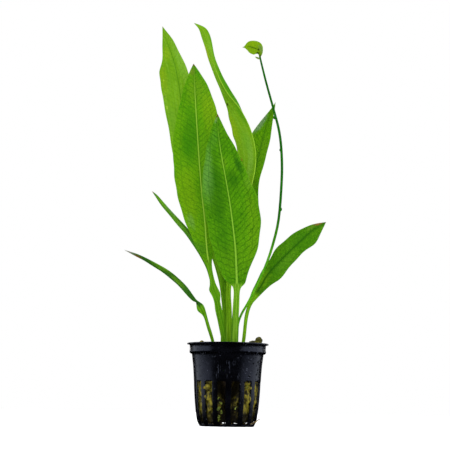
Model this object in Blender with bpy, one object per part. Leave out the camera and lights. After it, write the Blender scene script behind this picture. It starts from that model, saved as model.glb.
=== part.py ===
"""Potted amazon sword plant: a slotted net pot, stone wool, the rootstock, nine leaves and a flower stalk.

Origin: centre of the pot's base, on the surface it stands on. +Z is up and -Y is the front.
Shapes are given in millimetres and scaled by MM, because the scene is in metres.
"""

import math

import bmesh
import bpy
from mathutils import Vector

MM = 0.001

# The net pot.
POT_HEIGHT = 55.0
RIM_RADIUS = 27.5
WALL = 0.8
SLOTS = 15
PITCH = 360.0 / SLOTS
RIB_AT = 1.8  # degrees from the front to the middle of the nearest rib
RIB_HALF = 4.7  # degrees
SLOT_TOP = 29.5
SLOT_BOTTOM = 1.1
POT_PROFILE = [  # radius and height of the outside, from the flange's edge to the base
    (RIM_RADIUS, POT_HEIGHT - WALL),
    (26.3, POT_HEIGHT - WALL),
    (25.6, POT_HEIGHT - 1.5),
    (25.7, 48.7),
    (25.2, 48.1),
    (24.1, 47.9),
    (23.2, 40.5),
    (22.4, SLOT_TOP),
    (21.9, 20.5),
    (21.2, 12.5),
    (20.6, 7.5),
    (20.0, 4.2),
    (19.0, 2.0),
    (18.3, SLOT_BOTTOM),
    (17.0, 0.0),
    (9.0, 0.0),
]

# The stone wool, in two halves with an open wedge between them at the front.
WOOL_BOTTOM = 2.8
WOOL_TOP = 52.0
WOOL_CLEAR = 0.6  # from the pot's wall
WOOL_CORE = 8.8
WOOL_FLARE = (42.0, 0.5)  # above this height the hollow round the crown widens, by this much a mm
WOOL_ROWS = 10
WOOL_COLUMNS = 12
WEDGE_TOP = 20.5  # degrees each side of the front, at the slots' top
WEDGE_FOOT = 2.5
WEDGE_FOOT_HEIGHT = 10.0
BACK_SEAM = 1.0  # degrees each side of the back
MOUND = (-66.0, 13.0, 5.6)  # bearing, spread and height of the heap on the left half

# The rootstock: radius and height down from the crown that the leaf stalks stand on.
CROWN_PROFILE = [
    (4.5, 48.6),
    (6.2, 47.6),
    (6.6, 45.0),
    (7.4, 40.0),
    (8.0, 30.0),
    (7.6, 14.0),
    (6.0, 5.0),
    (3.0, 3.2),
]

# Each leaf is a row of stations from the foot of its stalk to its tip:
# midrib x, y, z, then the half widths left and right of it as seen from the front,
# then how far each half is turned towards the front, in degrees.
LEAVES = {
    "leaf_broad_front": [
        (4.5, -3.2, 49.3, 1.8, 1.9, 0, 0),
        (4.8, -5.0, 64.0, 1.9, 2.0, 0, 0),
        (5.1, -8.0, 77.0, 2.1, 2.1, 0, 0),
        (5.4, -11.0, 90.5, 2.2, 2.2, 0, 0),
        (5.4, -12.2, 94.5, 4.7, 4.3, -3, 3),
        (5.1, -14.0, 100.5, 10.2, 7.2, -6, 6),
        (4.1, -18.0, 116.5, 15.0, 14.3, -10, 8),
        (2.1, -21.0, 132.5, 17.2, 18.2, -12, 8),
        (-0.1, -23.0, 147.0, 17.8, 18.2, -12, 8),
        (-3.0, -25.0, 162.5, 16.6, 15.0, -12, 8),
        (-6.3, -26.0, 179.0, 11.6, 11.0, -12, 8),
        (-8.7, -25.0, 195.0, 5.7, 5.2, -10, 6),
        (-9.4, -23.0, 208.0, 0.0, 0.0, 0, 0),
    ],
    "leaf_broad_left": [
        (-1.9, -1.2, 49.3, 1.4, 1.4, 0, 0),
        (-3.4, -3.0, 64.0, 1.5, 1.5, 0, 0),
        (-6.0, -5.0, 76.0, 1.8, 1.8, 0, 0),
        (-9.1, -7.0, 88.5, 2.9, 3.0, -8, 8),
        (-12.8, -9.0, 105.0, 1.6, 1.5, 0, 0),
        (-15.1, -10.0, 117.0, 5.9, 4.4, -5, 5),
        (-16.7, -11.0, 136.0, 13.0, 10.0, -10, 8),
        (-19.1, -12.0, 154.5, 16.0, 14.5, -10, 10),
        (-21.1, -12.0, 175.0, 17.2, 16.8, -10, 10),
        (-22.9, -11.0, 196.0, 17.0, 16.6, -10, 10),
        (-24.9, -9.0, 221.0, 10.7, 12.2, -8, 8),
        (-26.0, -6.0, 237.5, 5.0, 5.9, 0, 0),
        (-26.8, -4.0, 248.0, 0.0, 0.0, 0, 0),
    ],
    "leaf_tall_back": [
        (-2.6, 5.2, 49.5, 1.2, 1.2, 0, 0),
        (-1.9, 7.0, 61.0, 1.3, 1.3, 0, 0),
        (-3.2, 8.0, 81.5, 1.3, 1.3, 0, 0),
        (-5.0, 9.5, 99.0, 2.1, 2.1, 0, 0),
        (-10.5, 12.0, 120.0, 3.4, 3.4, 0, 0),
        (-15.7, 14.0, 137.5, 7.6, 6.9, -6, -6),
        (-22.5, 17.0, 162.5, 10.5, 9.0, -12, -8),
        (-28.7, 19.0, 188.0, 12.0, 10.4, -14, -10),
        (-33.5, 20.0, 212.0, 11.9, 10.7, -15, -10),
        (-36.8, 20.0, 234.0, 13.2, 9.2, -15, -10),
        (-39.5, 19.0, 248.0, 12.9, 8.4, -15, -10),
        (-43.3, 17.0, 262.5, 6.6, 5.0, -12, -8),
        (-47.4, 15.0, 272.0, 2.6, 3.0, 0, 0),
        (-50.0, 13.0, 280.0, 0.0, 0.0, 0, 0),
    ],
    "leaf_twisted_tall": [
        (0.5, 3.0, 49.5, 1.3, 1.3, 0, 0),
        (0.4, 3.6, 61.0, 1.4, 1.4, 0, 0),
        (0.4, 4.8, 77.0, 1.9, 1.9, 0, 0),
        (-0.2, 6.5, 94.0, 1.9, 1.9, 0, -20),
        (3.6, 8.0, 119.5, 4.4, 4.0, 5, -55),
        (8.8, 9.0, 143.0, 8.5, 6.0, 8, -75),
        (14.0, 9.0, 162.0, 11.5, 6.5, 8, -85),
        (16.9, 8.0, 176.0, 12.3, 6.5, 8, -88),
        (17.3, 7.0, 188.5, 12.4, 6.5, 8, -88),
        (13.7, 6.0, 204.0, 13.1, 6.5, 5, -88),
        (6.9, 6.0, 218.5, 10.3, 6.0, -5, -85),
        (-1.5, 7.0, 229.5, 5.6, 4.5, -30, -60),
        (-8.3, 8.0, 241.5, 4.2, 4.2, -45, -55),
        (-13.8, 9.0, 254.0, 3.4, 3.8, -50, -50),
        (-17.2, 9.0, 265.5, 3.4, 4.0, -45, -40),
        (-20.0, 8.0, 274.5, 3.0, 3.2, -25, -15),
        (-23.4, 7.5, 278.4, 1.5, 1.3, -10, -10),
        (-27.5, 7.0, 280.8, 0.0, 0.0, 0, 0),
    ],
    "leaf_right_back": [
        (2.6, 6.2, 49.5, 1.2, 1.2, 0, 0),
        (0.8, 9.0, 61.0, 1.3, 1.3, 0, 0),
        (-1.2, 11.5, 78.5, 1.4, 1.4, 0, 0),
        (-1.6, 14.0, 96.0, 1.7, 1.7, 0, 0),
        (4.2, 18.0, 122.0, 5.0, 5.0, -5, 0),
        (11.4, 20.0, 145.5, 8.4, 8.7, -10, 5),
        (15.7, 21.0, 167.0, 9.5, 4.8, -12, 8),
        (19.3, 20.0, 186.0, 10.4, 4.8, -12, 10),
        (23.2, 18.0, 203.0, 8.4, 4.8, -12, 10),
        (26.8, 14.0, 215.0, 3.0, 2.8, -8, 5),
        (29.6, 12.0, 221.5, 1.0, 1.2, 0, 0),
        (31.0, 11.5, 225.5, 0.0, 0.0, 0, 0),
    ],
    "leaf_hidden_middle": [
        (2.9, 0.3, 49.4, 1.1, 1.1, 0, 0),
        (3.0, -0.4, 61.0, 1.1, 1.1, 0, 0),
        (4.0, -2.5, 77.5, 1.2, 1.2, 0, 0),
        (4.9, -5.5, 94.0, 1.5, 1.5, 0, 0),
        (5.2, -8.5, 114.0, 4.0, 4.0, -5, 5),
        (5.9, -10.0, 138.0, 6.0, 5.4, -8, 8),
        (6.6, -11.0, 158.0, 4.7, 4.0, -8, 8),
        (7.1, -11.0, 170.5, 2.7, 2.0, 0, 0),
        (7.5, -11.0, 180.5, 0.0, 0.0, 0, 0),
    ],
    "leaf_narrow_left": [
        (-4.4, 1.6, 49.3, 1.0, 1.0, 0, 0),
        (-3.8, 1.2, 61.0, 1.1, 1.1, 0, 0),
        (-6.1, -0.2, 74.0, 1.1, 1.1, 0, 0),
        (-9.6, -1.2, 89.0, 1.2, 1.2, 0, 0),
        (-13.6, -2.2, 104.5, 1.4, 1.4, 0, 0),
        (-18.4, -3.2, 115.5, 2.4, 2.6, -30, -30),
        (-27.0, -4.0, 128.0, 3.4, 3.4, -55, -55),
        (-36.0, -5.0, 138.0, 2.9, 2.6, -55, -55),
        (-45.0, -6.0, 147.5, 1.8, 2.2, -50, -50),
        (-50.2, -7.0, 154.0, 0.9, 0.9, -30, -30),
        (-53.3, -8.0, 157.0, 0.0, 0.0, 0, 0),
    ],
    "leaf_drooping_left": [
        (-7.8, -3.0, 45.8, 0.8, 0.8, 0, 0),
        (-10.4, -5.0, 57.0, 0.9, 0.9, 0, 0),
        (-13.5, -8.0, 66.0, 0.9, 0.9, 0, 0),
        (-15.6, -10.0, 73.0, 1.1, 1.1, 0, 0),
        (-18.1, -12.0, 77.2, 2.0, 2.0, -20, 20),
        (-22.2, -15.5, 81.8, 2.4, 1.7, -40, -40),
        (-29.7, -20.0, 91.0, 3.2, 2.3, -50, -50),
        (-37.6, -24.0, 98.2, 3.2, 2.0, -50, -50),
        (-46.8, -28.0, 103.8, 2.7, 1.6, -50, -50),
        (-56.0, -31.0, 108.2, 1.4, 1.2, -40, -40),
        (-63.0, -33.0, 111.0, 0.7, 0.7, 0, 0),
        (-68.8, -35.0, 113.2, 0.0, 0.0, 0, 0),
    ],
    "leaf_low_right": [
        (8.1, -2.0, 45.8, 0.9, 0.9, 0, 0),
        (10.6, -3.0, 57.5, 1.0, 1.0, 0, 0),
        (11.9, -4.5, 72.0, 1.1, 1.1, 0, 0),
        (14.1, -6.0, 80.5, 1.3, 1.3, 0, 0),
        (17.0, -7.5, 86.0, 2.7, 2.2, -5, 5),
        (20.9, -9.0, 92.0, 4.0, 3.6, -10, 8),
        (25.5, -11.0, 100.3, 4.6, 7.4, -12, 8),
        (31.0, -13.0, 106.7, 6.1, 8.4, -12, 10),
        (37.2, -15.0, 113.2, 7.2, 7.5, -12, 10),
        (44.4, -17.0, 120.1, 6.8, 7.0, -12, 10),
        (51.2, -19.0, 126.6, 5.2, 6.8, -10, 8),
        (57.2, -20.0, 131.4, 2.8, 4.6, -5, 5),
        (64.1, -21.0, 135.7, 0.0, 0.0, 0, 0),
    ],
    "plantlet_leaf": [
        (19.2, -4.6, 253.6, 0.6, 0.6, 0, 0),
        (19.3, -5.6, 256.0, 1.6, 1.8, 0, 0),
        (17.4, -7.0, 258.0, 3.6, 4.9, -10, 10),
        (14.2, -9.0, 258.6, 3.9, 5.2, -12, 10),
        (11.2, -10.0, 258.9, 3.4, 3.8, -10, 8),
        (9.4, -10.2, 258.7, 2.0, 2.2, 0, 0),
        (6.7, -10.4, 258.3, 0.0, 0.0, 0, 0),
    ],
    "stalk_bract": [
        (18.3, -4.0, 252.4, 0.3, 0.3, 0, 0),
        (17.2, -4.6, 252.9, 0.7, 0.6, 0, 0),
        (15.7, -5.2, 253.3, 0.0, 0.0, 0, 0),
    ],
}
LEAF_STEPS = 2  # rings from one station to the next
STALK_STEPS = 2
BLADE_THICK = 0.35  # half the blade's thickness between midrib and edge
RIB_THICK_TIP = 0.4  # half the midrib's thickness at the tip

# The flower stalk: centre line x, y, z and radius.
FLOWER_STALK = [
    (6.2, 1.0, 49.4, 0.85),
    (6.3, 0.2, 61.0, 0.85),
    (6.7, -1.6, 68.5, 0.8),
    (9.0, -5.0, 75.0, 0.75),
    (12.8, -9.0, 81.5, 0.75),
    (17.2, -13.0, 90.3, 0.75),
    (24.0, -17.0, 105.5, 0.75),
    (28.5, -19.0, 119.0, 0.75),
    (32.5, -20.0, 137.0, 0.75),
    (34.4, -18.0, 163.5, 0.75),
    (34.4, -15.0, 182.0, 0.7),
    (32.8, -11.0, 199.0, 0.7),
    (28.7, -7.0, 216.5, 0.7),
    (23.6, -5.0, 235.5, 0.65),
    (19.3, -4.0, 252.8, 0.5),
]

# A fine root that has grown out of a slot, low on the right.
LOOSE_ROOT = [
    (8.8, -4.7, 1.8, 0.4),
    (14.5, -7.8, 1.8, 0.4),
    (17.3, -9.3, 2.5, 0.4),
    (19.6, -10.5, 3.8, 0.35),
    (21.9, -11.6, 5.6, 0.3),
]

# A loose tuft of dark wool on the right: radius and height.
TUFT_AT = (20.3, -4.0)
TUFT_PROFILE = [
    (0.9, 60.0),
    (2.0, 59.3),
    (2.5, 57.8),
    (2.3, 56.3),
    (2.6, 54.6),
    (2.7, 53.2),
    (2.0, 52.4),
]

COLOURS = {
    "net_pot": (0.015, 0.016, 0.02),
    "wool_left": (0.18, 0.17, 0.04),
    "wool_right": (0.18, 0.17, 0.04),
    "wool_tuft_right": (0.05, 0.06, 0.02),
    "rootstock": (0.05, 0.035, 0.02),
    "root_low_right": (0.5, 0.4, 0.2),
    "flower_stalk": (0.03, 0.1, 0.015),
    "plantlet_leaf": (0.22, 0.38, 0.02),
    "stalk_bract": (0.3, 0.4, 0.15),
}
LEAF_COLOUR = (0.1, 0.3, 0.015)


def clear_scene():
    for thing in list(bpy.data.objects):
        bpy.data.objects.remove(thing, do_unlink=True)


def material(name):
    found = bpy.data.materials.new(name)
    found.use_nodes = True
    shader = found.node_tree.nodes["Principled BSDF"]
    red, green, blue = COLOURS.get(name, LEAF_COLOUR)
    shader.inputs["Base Color"].default_value = (red, green, blue, 1.0)
    shader.inputs["Roughness"].default_value = 0.45
    return found


def finish(name, mesh, smooth_angle=60.0):
    """Closes the bmesh into a named object with its own material, its faces out and its edges smooth."""
    bmesh.ops.recalc_face_normals(mesh, faces=mesh.faces)
    data = bpy.data.meshes.new(name)
    mesh.to_mesh(data)
    mesh.free()
    data.materials.append(material(name))
    data.shade_smooth()
    data.set_sharp_from_angle(angle=math.radians(smooth_angle))
    thing = bpy.data.objects.new(name, data)
    bpy.context.scene.collection.objects.link(thing)
    return thing


def around(radius, height, bearing):
    """A point at this radius, height and bearing in degrees, counted from the front towards the right."""
    angle = math.radians(bearing)
    return Vector((radius * math.sin(angle), -radius * math.cos(angle), height)) * MM


def smooth_row(rows, at):
    """The row at a place between the stations, on a curve through all of them."""
    last = len(rows) - 1
    index = min(int(at), last - 1)
    t = at - index
    before = rows[max(index - 1, 0)]
    start = rows[index]
    end = rows[index + 1]
    after = rows[min(index + 2, last)]
    found = []
    for p0, p1, p2, p3 in zip(before, start, end, after):
        bend = 2 * p0 - 5 * p1 + 4 * p2 - p3
        twist = 3 * (p1 - p2) + p3 - p0
        found.append(p1 + 0.5 * t * (p2 - p0 + t * (bend + t * twist)))
    return found


def skin(mesh, rings, start_cap=True, end_cap=True):
    """Quads from ring to ring. A ring of one vertex is a point."""
    for low, high in zip(rings[:-1], rings[1:]):
        count = max(len(low), len(high))
        for i in range(count):
            j = (i + 1) % count
            if len(high) == 1:
                mesh.faces.new((low[i], low[j], high[0]))
            elif len(low) == 1:
                mesh.faces.new((low[0], high[j], high[i]))
            else:
                mesh.faces.new((low[i], low[j], high[j], high[i]))
    if start_cap and len(rings[0]) > 1:
        mesh.faces.new(reversed(rings[0]))
    if end_cap and len(rings[-1]) > 1:
        mesh.faces.new(rings[-1])


def turned(name, profile, centre=(0.0, 0.0), sides=16):
    """A solid turned round an upright axis through centre, from its profile of radii and heights."""
    mesh = bmesh.new()
    shift = Vector((centre[0], centre[1], 0)) * MM
    rings = []
    for radius, height in profile:
        bearings = [360.0 * i / sides for i in range(sides)]
        rings.append([mesh.verts.new(around(radius, height, b) + shift) for b in bearings])
    skin(mesh, rings)
    return finish(name, mesh)


def pot_radius(height):
    """The outer radius of the tapered wall, below the band."""
    wall = [point for point in POT_PROFILE if SLOT_BOTTOM <= point[1] < 48.0]
    for (r1, z1), (r0, z0) in zip(wall[:-1], wall[1:]):
        if height >= z0:
            return r0 + (r1 - r0) * (min(height, z1) - z0) / (z1 - z0)
    return wall[-1][0]


def net_pot():
    """The tapered pot: a sheet with the slots left out, thickened inwards to its wall."""
    mesh = bmesh.new()
    bearings = []
    for k in range(SLOTS):
        rib = RIB_AT + k * PITCH
        bearings += [rib - RIB_HALF, rib, rib + RIB_HALF, rib + PITCH / 2]
    rings = [[mesh.verts.new(around(r, z, b)) for b in bearings] for r, z in POT_PROFILE]
    centre = mesh.verts.new(around(0.0, 0.0, 0.0))
    count = len(bearings)
    for row in range(len(rings) - 1):
        in_slot_rows = SLOT_BOTTOM <= POT_PROFILE[row + 1][1] and POT_PROFILE[row][1] <= SLOT_TOP
        for i in range(count):
            beside_rib = i % 4 in (2, 3)
            if in_slot_rows and beside_rib:
                continue
            j = (i + 1) % count
            mesh.faces.new((rings[row][i], rings[row][j], rings[row + 1][j], rings[row + 1][i]))
    for i in range(count):
        mesh.faces.new((rings[-1][i], rings[-1][(i + 1) % count], centre))
    thing = finish("net_pot", mesh, 35.0)
    if thing.data.polygons[0].normal.z > 0:
        thing.data.flip_normals()
    wall = thing.modifiers.new("Wall", "SOLIDIFY")
    wall.thickness = WALL * MM
    wall.offset = -1.0
    wall.use_even_offset = True
    return thing


def wedge(height):
    """Half the open angle between the wool halves at this height, in degrees."""
    share = (height - WEDGE_FOOT_HEIGHT) / (SLOT_TOP - WEDGE_FOOT_HEIGHT)
    return WEDGE_FOOT + (WEDGE_TOP - WEDGE_FOOT) * min(max(share, 0.0), 1.0)


def fold(bearing, height):
    """How far the wool's surface falls back from the wall, in millimetres."""
    ripple = 0.5 * math.sin(math.radians(bearing * 7.0 + height * 4.0))
    return 0.7 + ripple + 0.2 * math.sin(height * 0.45)


def wool_half(name, side):
    """Half of the wrap. side is -1 for the left and 1 for the right."""
    mesh = bmesh.new()
    rings = []
    mound_at, mound_spread, mound_rise = MOUND
    for row in range(WOOL_ROWS):
        share = row / (WOOL_ROWS - 1)
        level = WOOL_BOTTOM + (WOOL_TOP - WOOL_BOTTOM) * share
        core = WOOL_CORE + WOOL_FLARE[1] * max(level - WOOL_FLARE[0], 0.0)
        outside = []
        inside = []
        for column in range(WOOL_COLUMNS):
            along = column / (WOOL_COLUMNS - 1)
            bearing = side * (wedge(level) + (180.0 - BACK_SEAM - wedge(level)) * along)
            heap = mound_rise * math.exp(-(((bearing - mound_at) / mound_spread) ** 2))
            height = level + heap * share**3
            radius = pot_radius(level) - WALL - WOOL_CLEAR - fold(bearing, level)
            radius -= 0.25 * max(height - WOOL_TOP, 0.0)
            outside.append(around(radius, height, bearing))
            inside.append(around(core, level - 1.5 * share, bearing))
        rings.append([mesh.verts.new(p) for p in outside + inside[::-1]])
    skin(mesh, rings, start_cap=False, end_cap=False)
    for ring in (rings[0], rings[-1]):
        for i in range(WOOL_COLUMNS - 1):
            mesh.faces.new((ring[i], ring[i + 1], ring[-2 - i], ring[-1 - i]))
    return finish(name, mesh)


def leaf_section(row, rib, mesh):
    """One ring of a leaf: edge, half way and midrib on each side, front and back."""
    centre, along, left, right, left_turn, right_turn = row
    front = Vector((0.0, -1.0, 0.0))
    front = (front - along * front.dot(along)).normalized()
    across = along.cross(front)
    reach = {}
    for side, width, turn in ((-1, left, left_turn), (1, right, right_turn)):
        angle = math.radians(turn)
        out = across * side * math.cos(angle) + front * math.sin(angle)
        face = front * math.cos(angle) - across * side * math.sin(angle)
        spread = min(max((width / rib - 1.0) / 1.5, 0.0), 1.0)
        half_way = width * (0.7 + (0.5 - 0.7) * spread)
        thick = 0.7 * rib + (BLADE_THICK - 0.7 * rib) * spread
        thick = min(thick, 0.7 * width + 0.02)
        reach[side] = (centre + out * width, centre + out * half_way, face * thick)
    bisector = front * rib
    left_edge, left_mid, left_face = reach[-1]
    right_edge, right_mid, right_face = reach[1]
    points = [
        left_edge,
        left_mid + left_face,
        centre + bisector,
        right_mid + right_face,
        right_edge,
        right_mid - right_face,
        centre - bisector,
        left_mid - left_face,
    ]
    return [mesh.verts.new(p * MM) for p in points]


def leaf(name, stations):
    """A leaf with its stalk in one piece, from its stations."""
    mesh = bmesh.new()
    last = len(stations) - 1
    stem = 0.5 * (stations[0][3] + stations[0][4])
    count = last * LEAF_STEPS
    rows = [smooth_row(stations, i / LEAF_STEPS) for i in range(count)]
    rows.append(list(stations[-1]))
    centres = [Vector(row[:3]) for row in rows]
    rings = []
    for i in range(count):
        ahead = centres[i + 1] - centres[max(i - 1, 0)]
        left = max(rows[i][3], 0.15)
        right = max(rows[i][4], 0.15)
        rib = RIB_THICK_TIP + (stem - RIB_THICK_TIP) * (1.0 - i / count) ** 1.5
        rib = min(rib, 0.8 * min(left, right)) if i > count - 3 else rib
        row = (centres[i], ahead.normalized(), left, right, rows[i][5], rows[i][6])
        rings.append(leaf_section(row, rib, mesh))
    rings.append([mesh.verts.new(centres[-1] * MM)])
    skin(mesh, rings)
    return finish(name, mesh)


def stalk(name, stations, sides=8, steps=STALK_STEPS):
    """A round stalk or root along its stations of x, y, z and radius."""
    mesh = bmesh.new()
    count = (len(stations) - 1) * steps
    rows = [smooth_row(stations, i / steps) for i in range(count)] + [list(stations[-1])]
    centres = [Vector(row[:3]) for row in rows]
    rings = []
    for i, row in enumerate(rows):
        ahead = (centres[min(i + 1, count)] - centres[max(i - 1, 0)]).normalized()
        first = ahead.cross(Vector((0.0, 1.0, 0.0))).normalized()
        second = ahead.cross(first)
        ring = []
        for k in range(sides):
            angle = 2 * math.pi * k / sides
            offset = (first * math.cos(angle) + second * math.sin(angle)) * row[3]
            ring.append(mesh.verts.new((centres[i] + offset) * MM))
        rings.append(ring)
    skin(mesh, rings)
    return finish(name, mesh)


def main():
    clear_scene()
    net_pot()
    wool_half("wool_left", -1)
    wool_half("wool_right", 1)
    turned("wool_tuft_right", TUFT_PROFILE, TUFT_AT, 12)
    turned("rootstock", CROWN_PROFILE)
    stalk("root_low_right", LOOSE_ROOT, 6)
    stalk("flower_stalk", FLOWER_STALK)
    for name, stations in LEAVES.items():
        leaf(name, stations)


main()
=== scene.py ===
import math
import random
from collections import namedtuple

import bmesh
import bpy
from mathutils import Matrix, Vector


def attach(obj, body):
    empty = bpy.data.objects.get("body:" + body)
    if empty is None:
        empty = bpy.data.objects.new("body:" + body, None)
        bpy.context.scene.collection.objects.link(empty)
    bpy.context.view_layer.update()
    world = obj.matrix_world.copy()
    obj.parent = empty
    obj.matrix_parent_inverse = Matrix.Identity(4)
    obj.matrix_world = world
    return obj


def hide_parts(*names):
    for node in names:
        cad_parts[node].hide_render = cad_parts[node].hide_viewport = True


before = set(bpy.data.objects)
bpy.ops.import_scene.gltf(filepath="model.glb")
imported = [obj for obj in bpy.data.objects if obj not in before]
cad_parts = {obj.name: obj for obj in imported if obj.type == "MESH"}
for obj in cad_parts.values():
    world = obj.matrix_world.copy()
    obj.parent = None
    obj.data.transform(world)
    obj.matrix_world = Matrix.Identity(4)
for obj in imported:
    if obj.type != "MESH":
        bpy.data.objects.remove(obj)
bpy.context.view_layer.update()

# A sword plant in its net pot. Lengths are in millimetres unless a comment says otherwise, and are scaled
# by MM, because the scene is in metres. The origin is the middle of the pot's foot, +Z is up and -Y is the
# front.
MM = 0.001
FRONT = Vector((0.0, -1.0, 0.0))


# ---------------------------------------------------------------- handling the mesh tools

def put_down():
    """Leaves edit mode and lets go of everything."""
    if bpy.context.object is not None and bpy.context.object.mode != "OBJECT":
        bpy.ops.object.mode_set(mode="OBJECT")
    bpy.ops.object.select_all(action="DESELECT")


def pick_up(piece):
    put_down()
    piece.select_set(True)
    bpy.context.view_layer.objects.active = piece


def open_up(piece):
    """Goes into the piece's mesh with nothing selected."""
    pick_up(piece)
    bpy.ops.object.mode_set(mode="EDIT")
    bpy.ops.mesh.select_all(action="DESELECT")
    mesh = bmesh.from_edit_mesh(piece.data)
    mesh.verts.ensure_lookup_table()
    return mesh


def choose(points):
    for point in points:
        point.select = True


def let_go(points):
    for point in points:
        point.select = False


def choose_faces(mesh, wanted):
    """Selects the faces whose middle passes the test."""
    mesh.select_mode = {"FACE"}
    bpy.context.tool_settings.mesh_select_mode = (False, False, True)
    for face in mesh.faces:
        face.select = wanted(face.calc_center_median())
    mesh.select_flush_mode()


def by_points(mesh):
    bpy.context.tool_settings.mesh_select_mode = (True, False, False)
    mesh.select_mode = {"VERT"}


def stretch(scale, about):
    bpy.ops.transform.resize(value=scale, orient_type="GLOBAL", center_override=about)


def shift(way):
    bpy.ops.transform.translate(value=way, orient_type="GLOBAL")


def turn(axis, angle, about):
    """Turns the selection by a right-handed angle about a main axis."""
    if abs(angle) > 1e-7:
        bpy.ops.transform.rotate(
            value=-angle, orient_axis=axis, orient_type="GLOBAL", center_override=about
        )


def swing(rotation, about):
    """Turns the selection by a whole rotation, one main axis after another."""
    angles = rotation.to_euler("XYZ")
    turn("X", angles.x, about)
    turn("Y", angles.y, about)
    turn("Z", angles.z, about)


def lean_over(lean):
    """Turns the selection about x, then y, then z through the origin, in degrees."""
    for axis, angle in zip("XYZ", lean):
        turn(axis, math.radians(angle), (0, 0, 0))


def add_and_apply(piece, kind, **settings):
    pick_up(piece)
    modifier = piece.modifiers.new(kind.title(), kind)
    for key, value in settings.items():
        setattr(modifier, key, value)
    bpy.ops.object.modifier_apply(modifier=modifier.name)


def smooth(piece, degrees=180.0):
    pick_up(piece)
    if degrees >= 180.0:
        bpy.ops.object.shade_smooth()
    else:
        bpy.ops.object.shade_smooth_by_angle(angle=math.radians(degrees))


def settle(piece, name):
    """Puts the piece's place into its mesh and names it."""
    pick_up(piece)
    bpy.ops.object.transform_apply(location=True, rotation=True, scale=True)
    piece.name = name
    piece.data.name = name


def weld_together(pieces):
    """Joins several meshes into the first of them."""
    put_down()
    for piece in pieces:
        piece.select_set(True)
    bpy.context.view_layer.objects.active = pieces[0]
    bpy.ops.object.join()
    return pieces[0]


def hand_in(piece, finish, *stands_for):
    """The finished piece rides on the plant's one body and takes the place of its plain solids."""
    if finish is not None:
        piece.data.materials.clear()
        piece.data.materials.append(finish)
    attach(piece, "root")
    if stands_for:
        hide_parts(*stands_for)


def eased(rows, at):
    """The row at a place between the stations, on a curve through all of them."""
    last = len(rows) - 1
    index = min(int(at), last - 1)
    t = at - index
    four = [rows[max(index - 1, 0)], rows[index], rows[index + 1], rows[min(index + 2, last)]]
    found = []
    for p0, p1, p2, p3 in zip(*four):
        bend = 2 * p0 - 5 * p1 + 4 * p2 - p3
        twist = 3 * (p1 - p2) + p3 - p0
        found.append(p1 + 0.5 * t * (p2 - p0 + t * (bend + t * twist)))
    return found


# ---------------------------------------------------------------- drawing node trees

def paint(red, green, blue):
    """A colour as it is mixed on a screen, from 0 to 255, turned into light."""
    def light(value):
        value /= 255.0
        return value / 12.92 if value <= 0.04045 else ((value + 0.055) / 1.055) ** 2.4
    return (light(red), light(green), light(blue), 1.0)


def feed(tree, socket, value):
    if value is None:
        return
    if isinstance(value, bpy.types.NodeSocket):
        tree.links.new(value, socket)
    else:
        socket.default_value = value


def node(tree, kind, values=(), **settings):
    made = tree.nodes.new("ShaderNode" + kind)
    for key, value in settings.items():
        setattr(made, key, value)
    for place, value in enumerate(values):
        feed(tree, made.inputs[place], value)
    return made


def sums(tree, operation, first, second=None, third=None):
    return node(tree, "Math", (first, second, third), operation=operation).outputs[0]


def times(tree, first, *factors):
    """All of these multiplied together."""
    for factor in factors:
        first = sums(tree, "MULTIPLY", first, factor)
    return first


def parts(tree, vector):
    """The x, y and z of a vector."""
    return node(tree, "SeparateXYZ", (vector,)).outputs


def mixed(tree, amount, under, over, way="MIX"):
    made = node(tree, "Mix", data_type="RGBA", blend_type=way)
    feed(tree, made.inputs[0], amount)
    feed(tree, made.inputs[6], under)
    feed(tree, made.inputs[7], over)
    return made.outputs[2]


def fade(tree, value, start, end, low=0.0, high=1.0):
    """Runs softly from low to high while value runs from start to end."""
    made = node(tree, "MapRange", (value, start, end, low, high), interpolation_type="SMOOTHSTEP")
    return made.outputs[0]


def two_tone(tree, pattern, start, end, dark, light):
    """Runs softly from the dark paint to the light one while the pattern runs from start to end."""
    return mixed(tree, fade(tree, pattern, start, end), paint(*dark), paint(*light))


def cloud(tree, place, scale, detail=2.0, roughness=0.5, distortion=0.0):
    made = node(tree, "TexNoise", (place,), noise_dimensions="3D")
    made.inputs["Scale"].default_value = scale
    made.inputs["Detail"].default_value = detail
    made.inputs["Roughness"].default_value = roughness
    made.inputs["Distortion"].default_value = distortion
    return made.outputs[0]


def moved(tree, place, scale):
    """The place drawn out or packed closer along each axis."""
    made = node(tree, "Mapping", (place,), vector_type="POINT")
    made.inputs["Scale"].default_value = scale
    return made.outputs[0]


def new_group(name, inputs, outputs):
    """A node group with its sockets, its tree, and where its inputs come in and its outputs go out."""
    tree = bpy.data.node_groups.new(name, "ShaderNodeTree")
    for label, kind, value in inputs:
        socket = tree.interface.new_socket(name=label, in_out="INPUT", socket_type="NodeSocket" + kind)
        if value is not None:
            socket.default_value = value
    for label, kind in outputs:
        tree.interface.new_socket(name=label, in_out="OUTPUT", socket_type="NodeSocket" + kind)
    source = tree.nodes.new("NodeGroupInput")
    sink = tree.nodes.new("NodeGroupOutput")
    return tree, source.outputs, sink.inputs


def placed_group(tree, group, **values):
    made = tree.nodes.new("ShaderNodeGroup")
    made.node_tree = group
    for label, value in values.items():
        feed(tree, made.inputs[label.replace("_", " ")], value)
    return made.outputs


def new_finish(name):
    """A material with its tree and its Principled shader."""
    made = bpy.data.materials.new(name)
    made.use_nodes = True
    tree = made.node_tree
    return made, tree, tree.nodes["Principled BSDF"]


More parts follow.
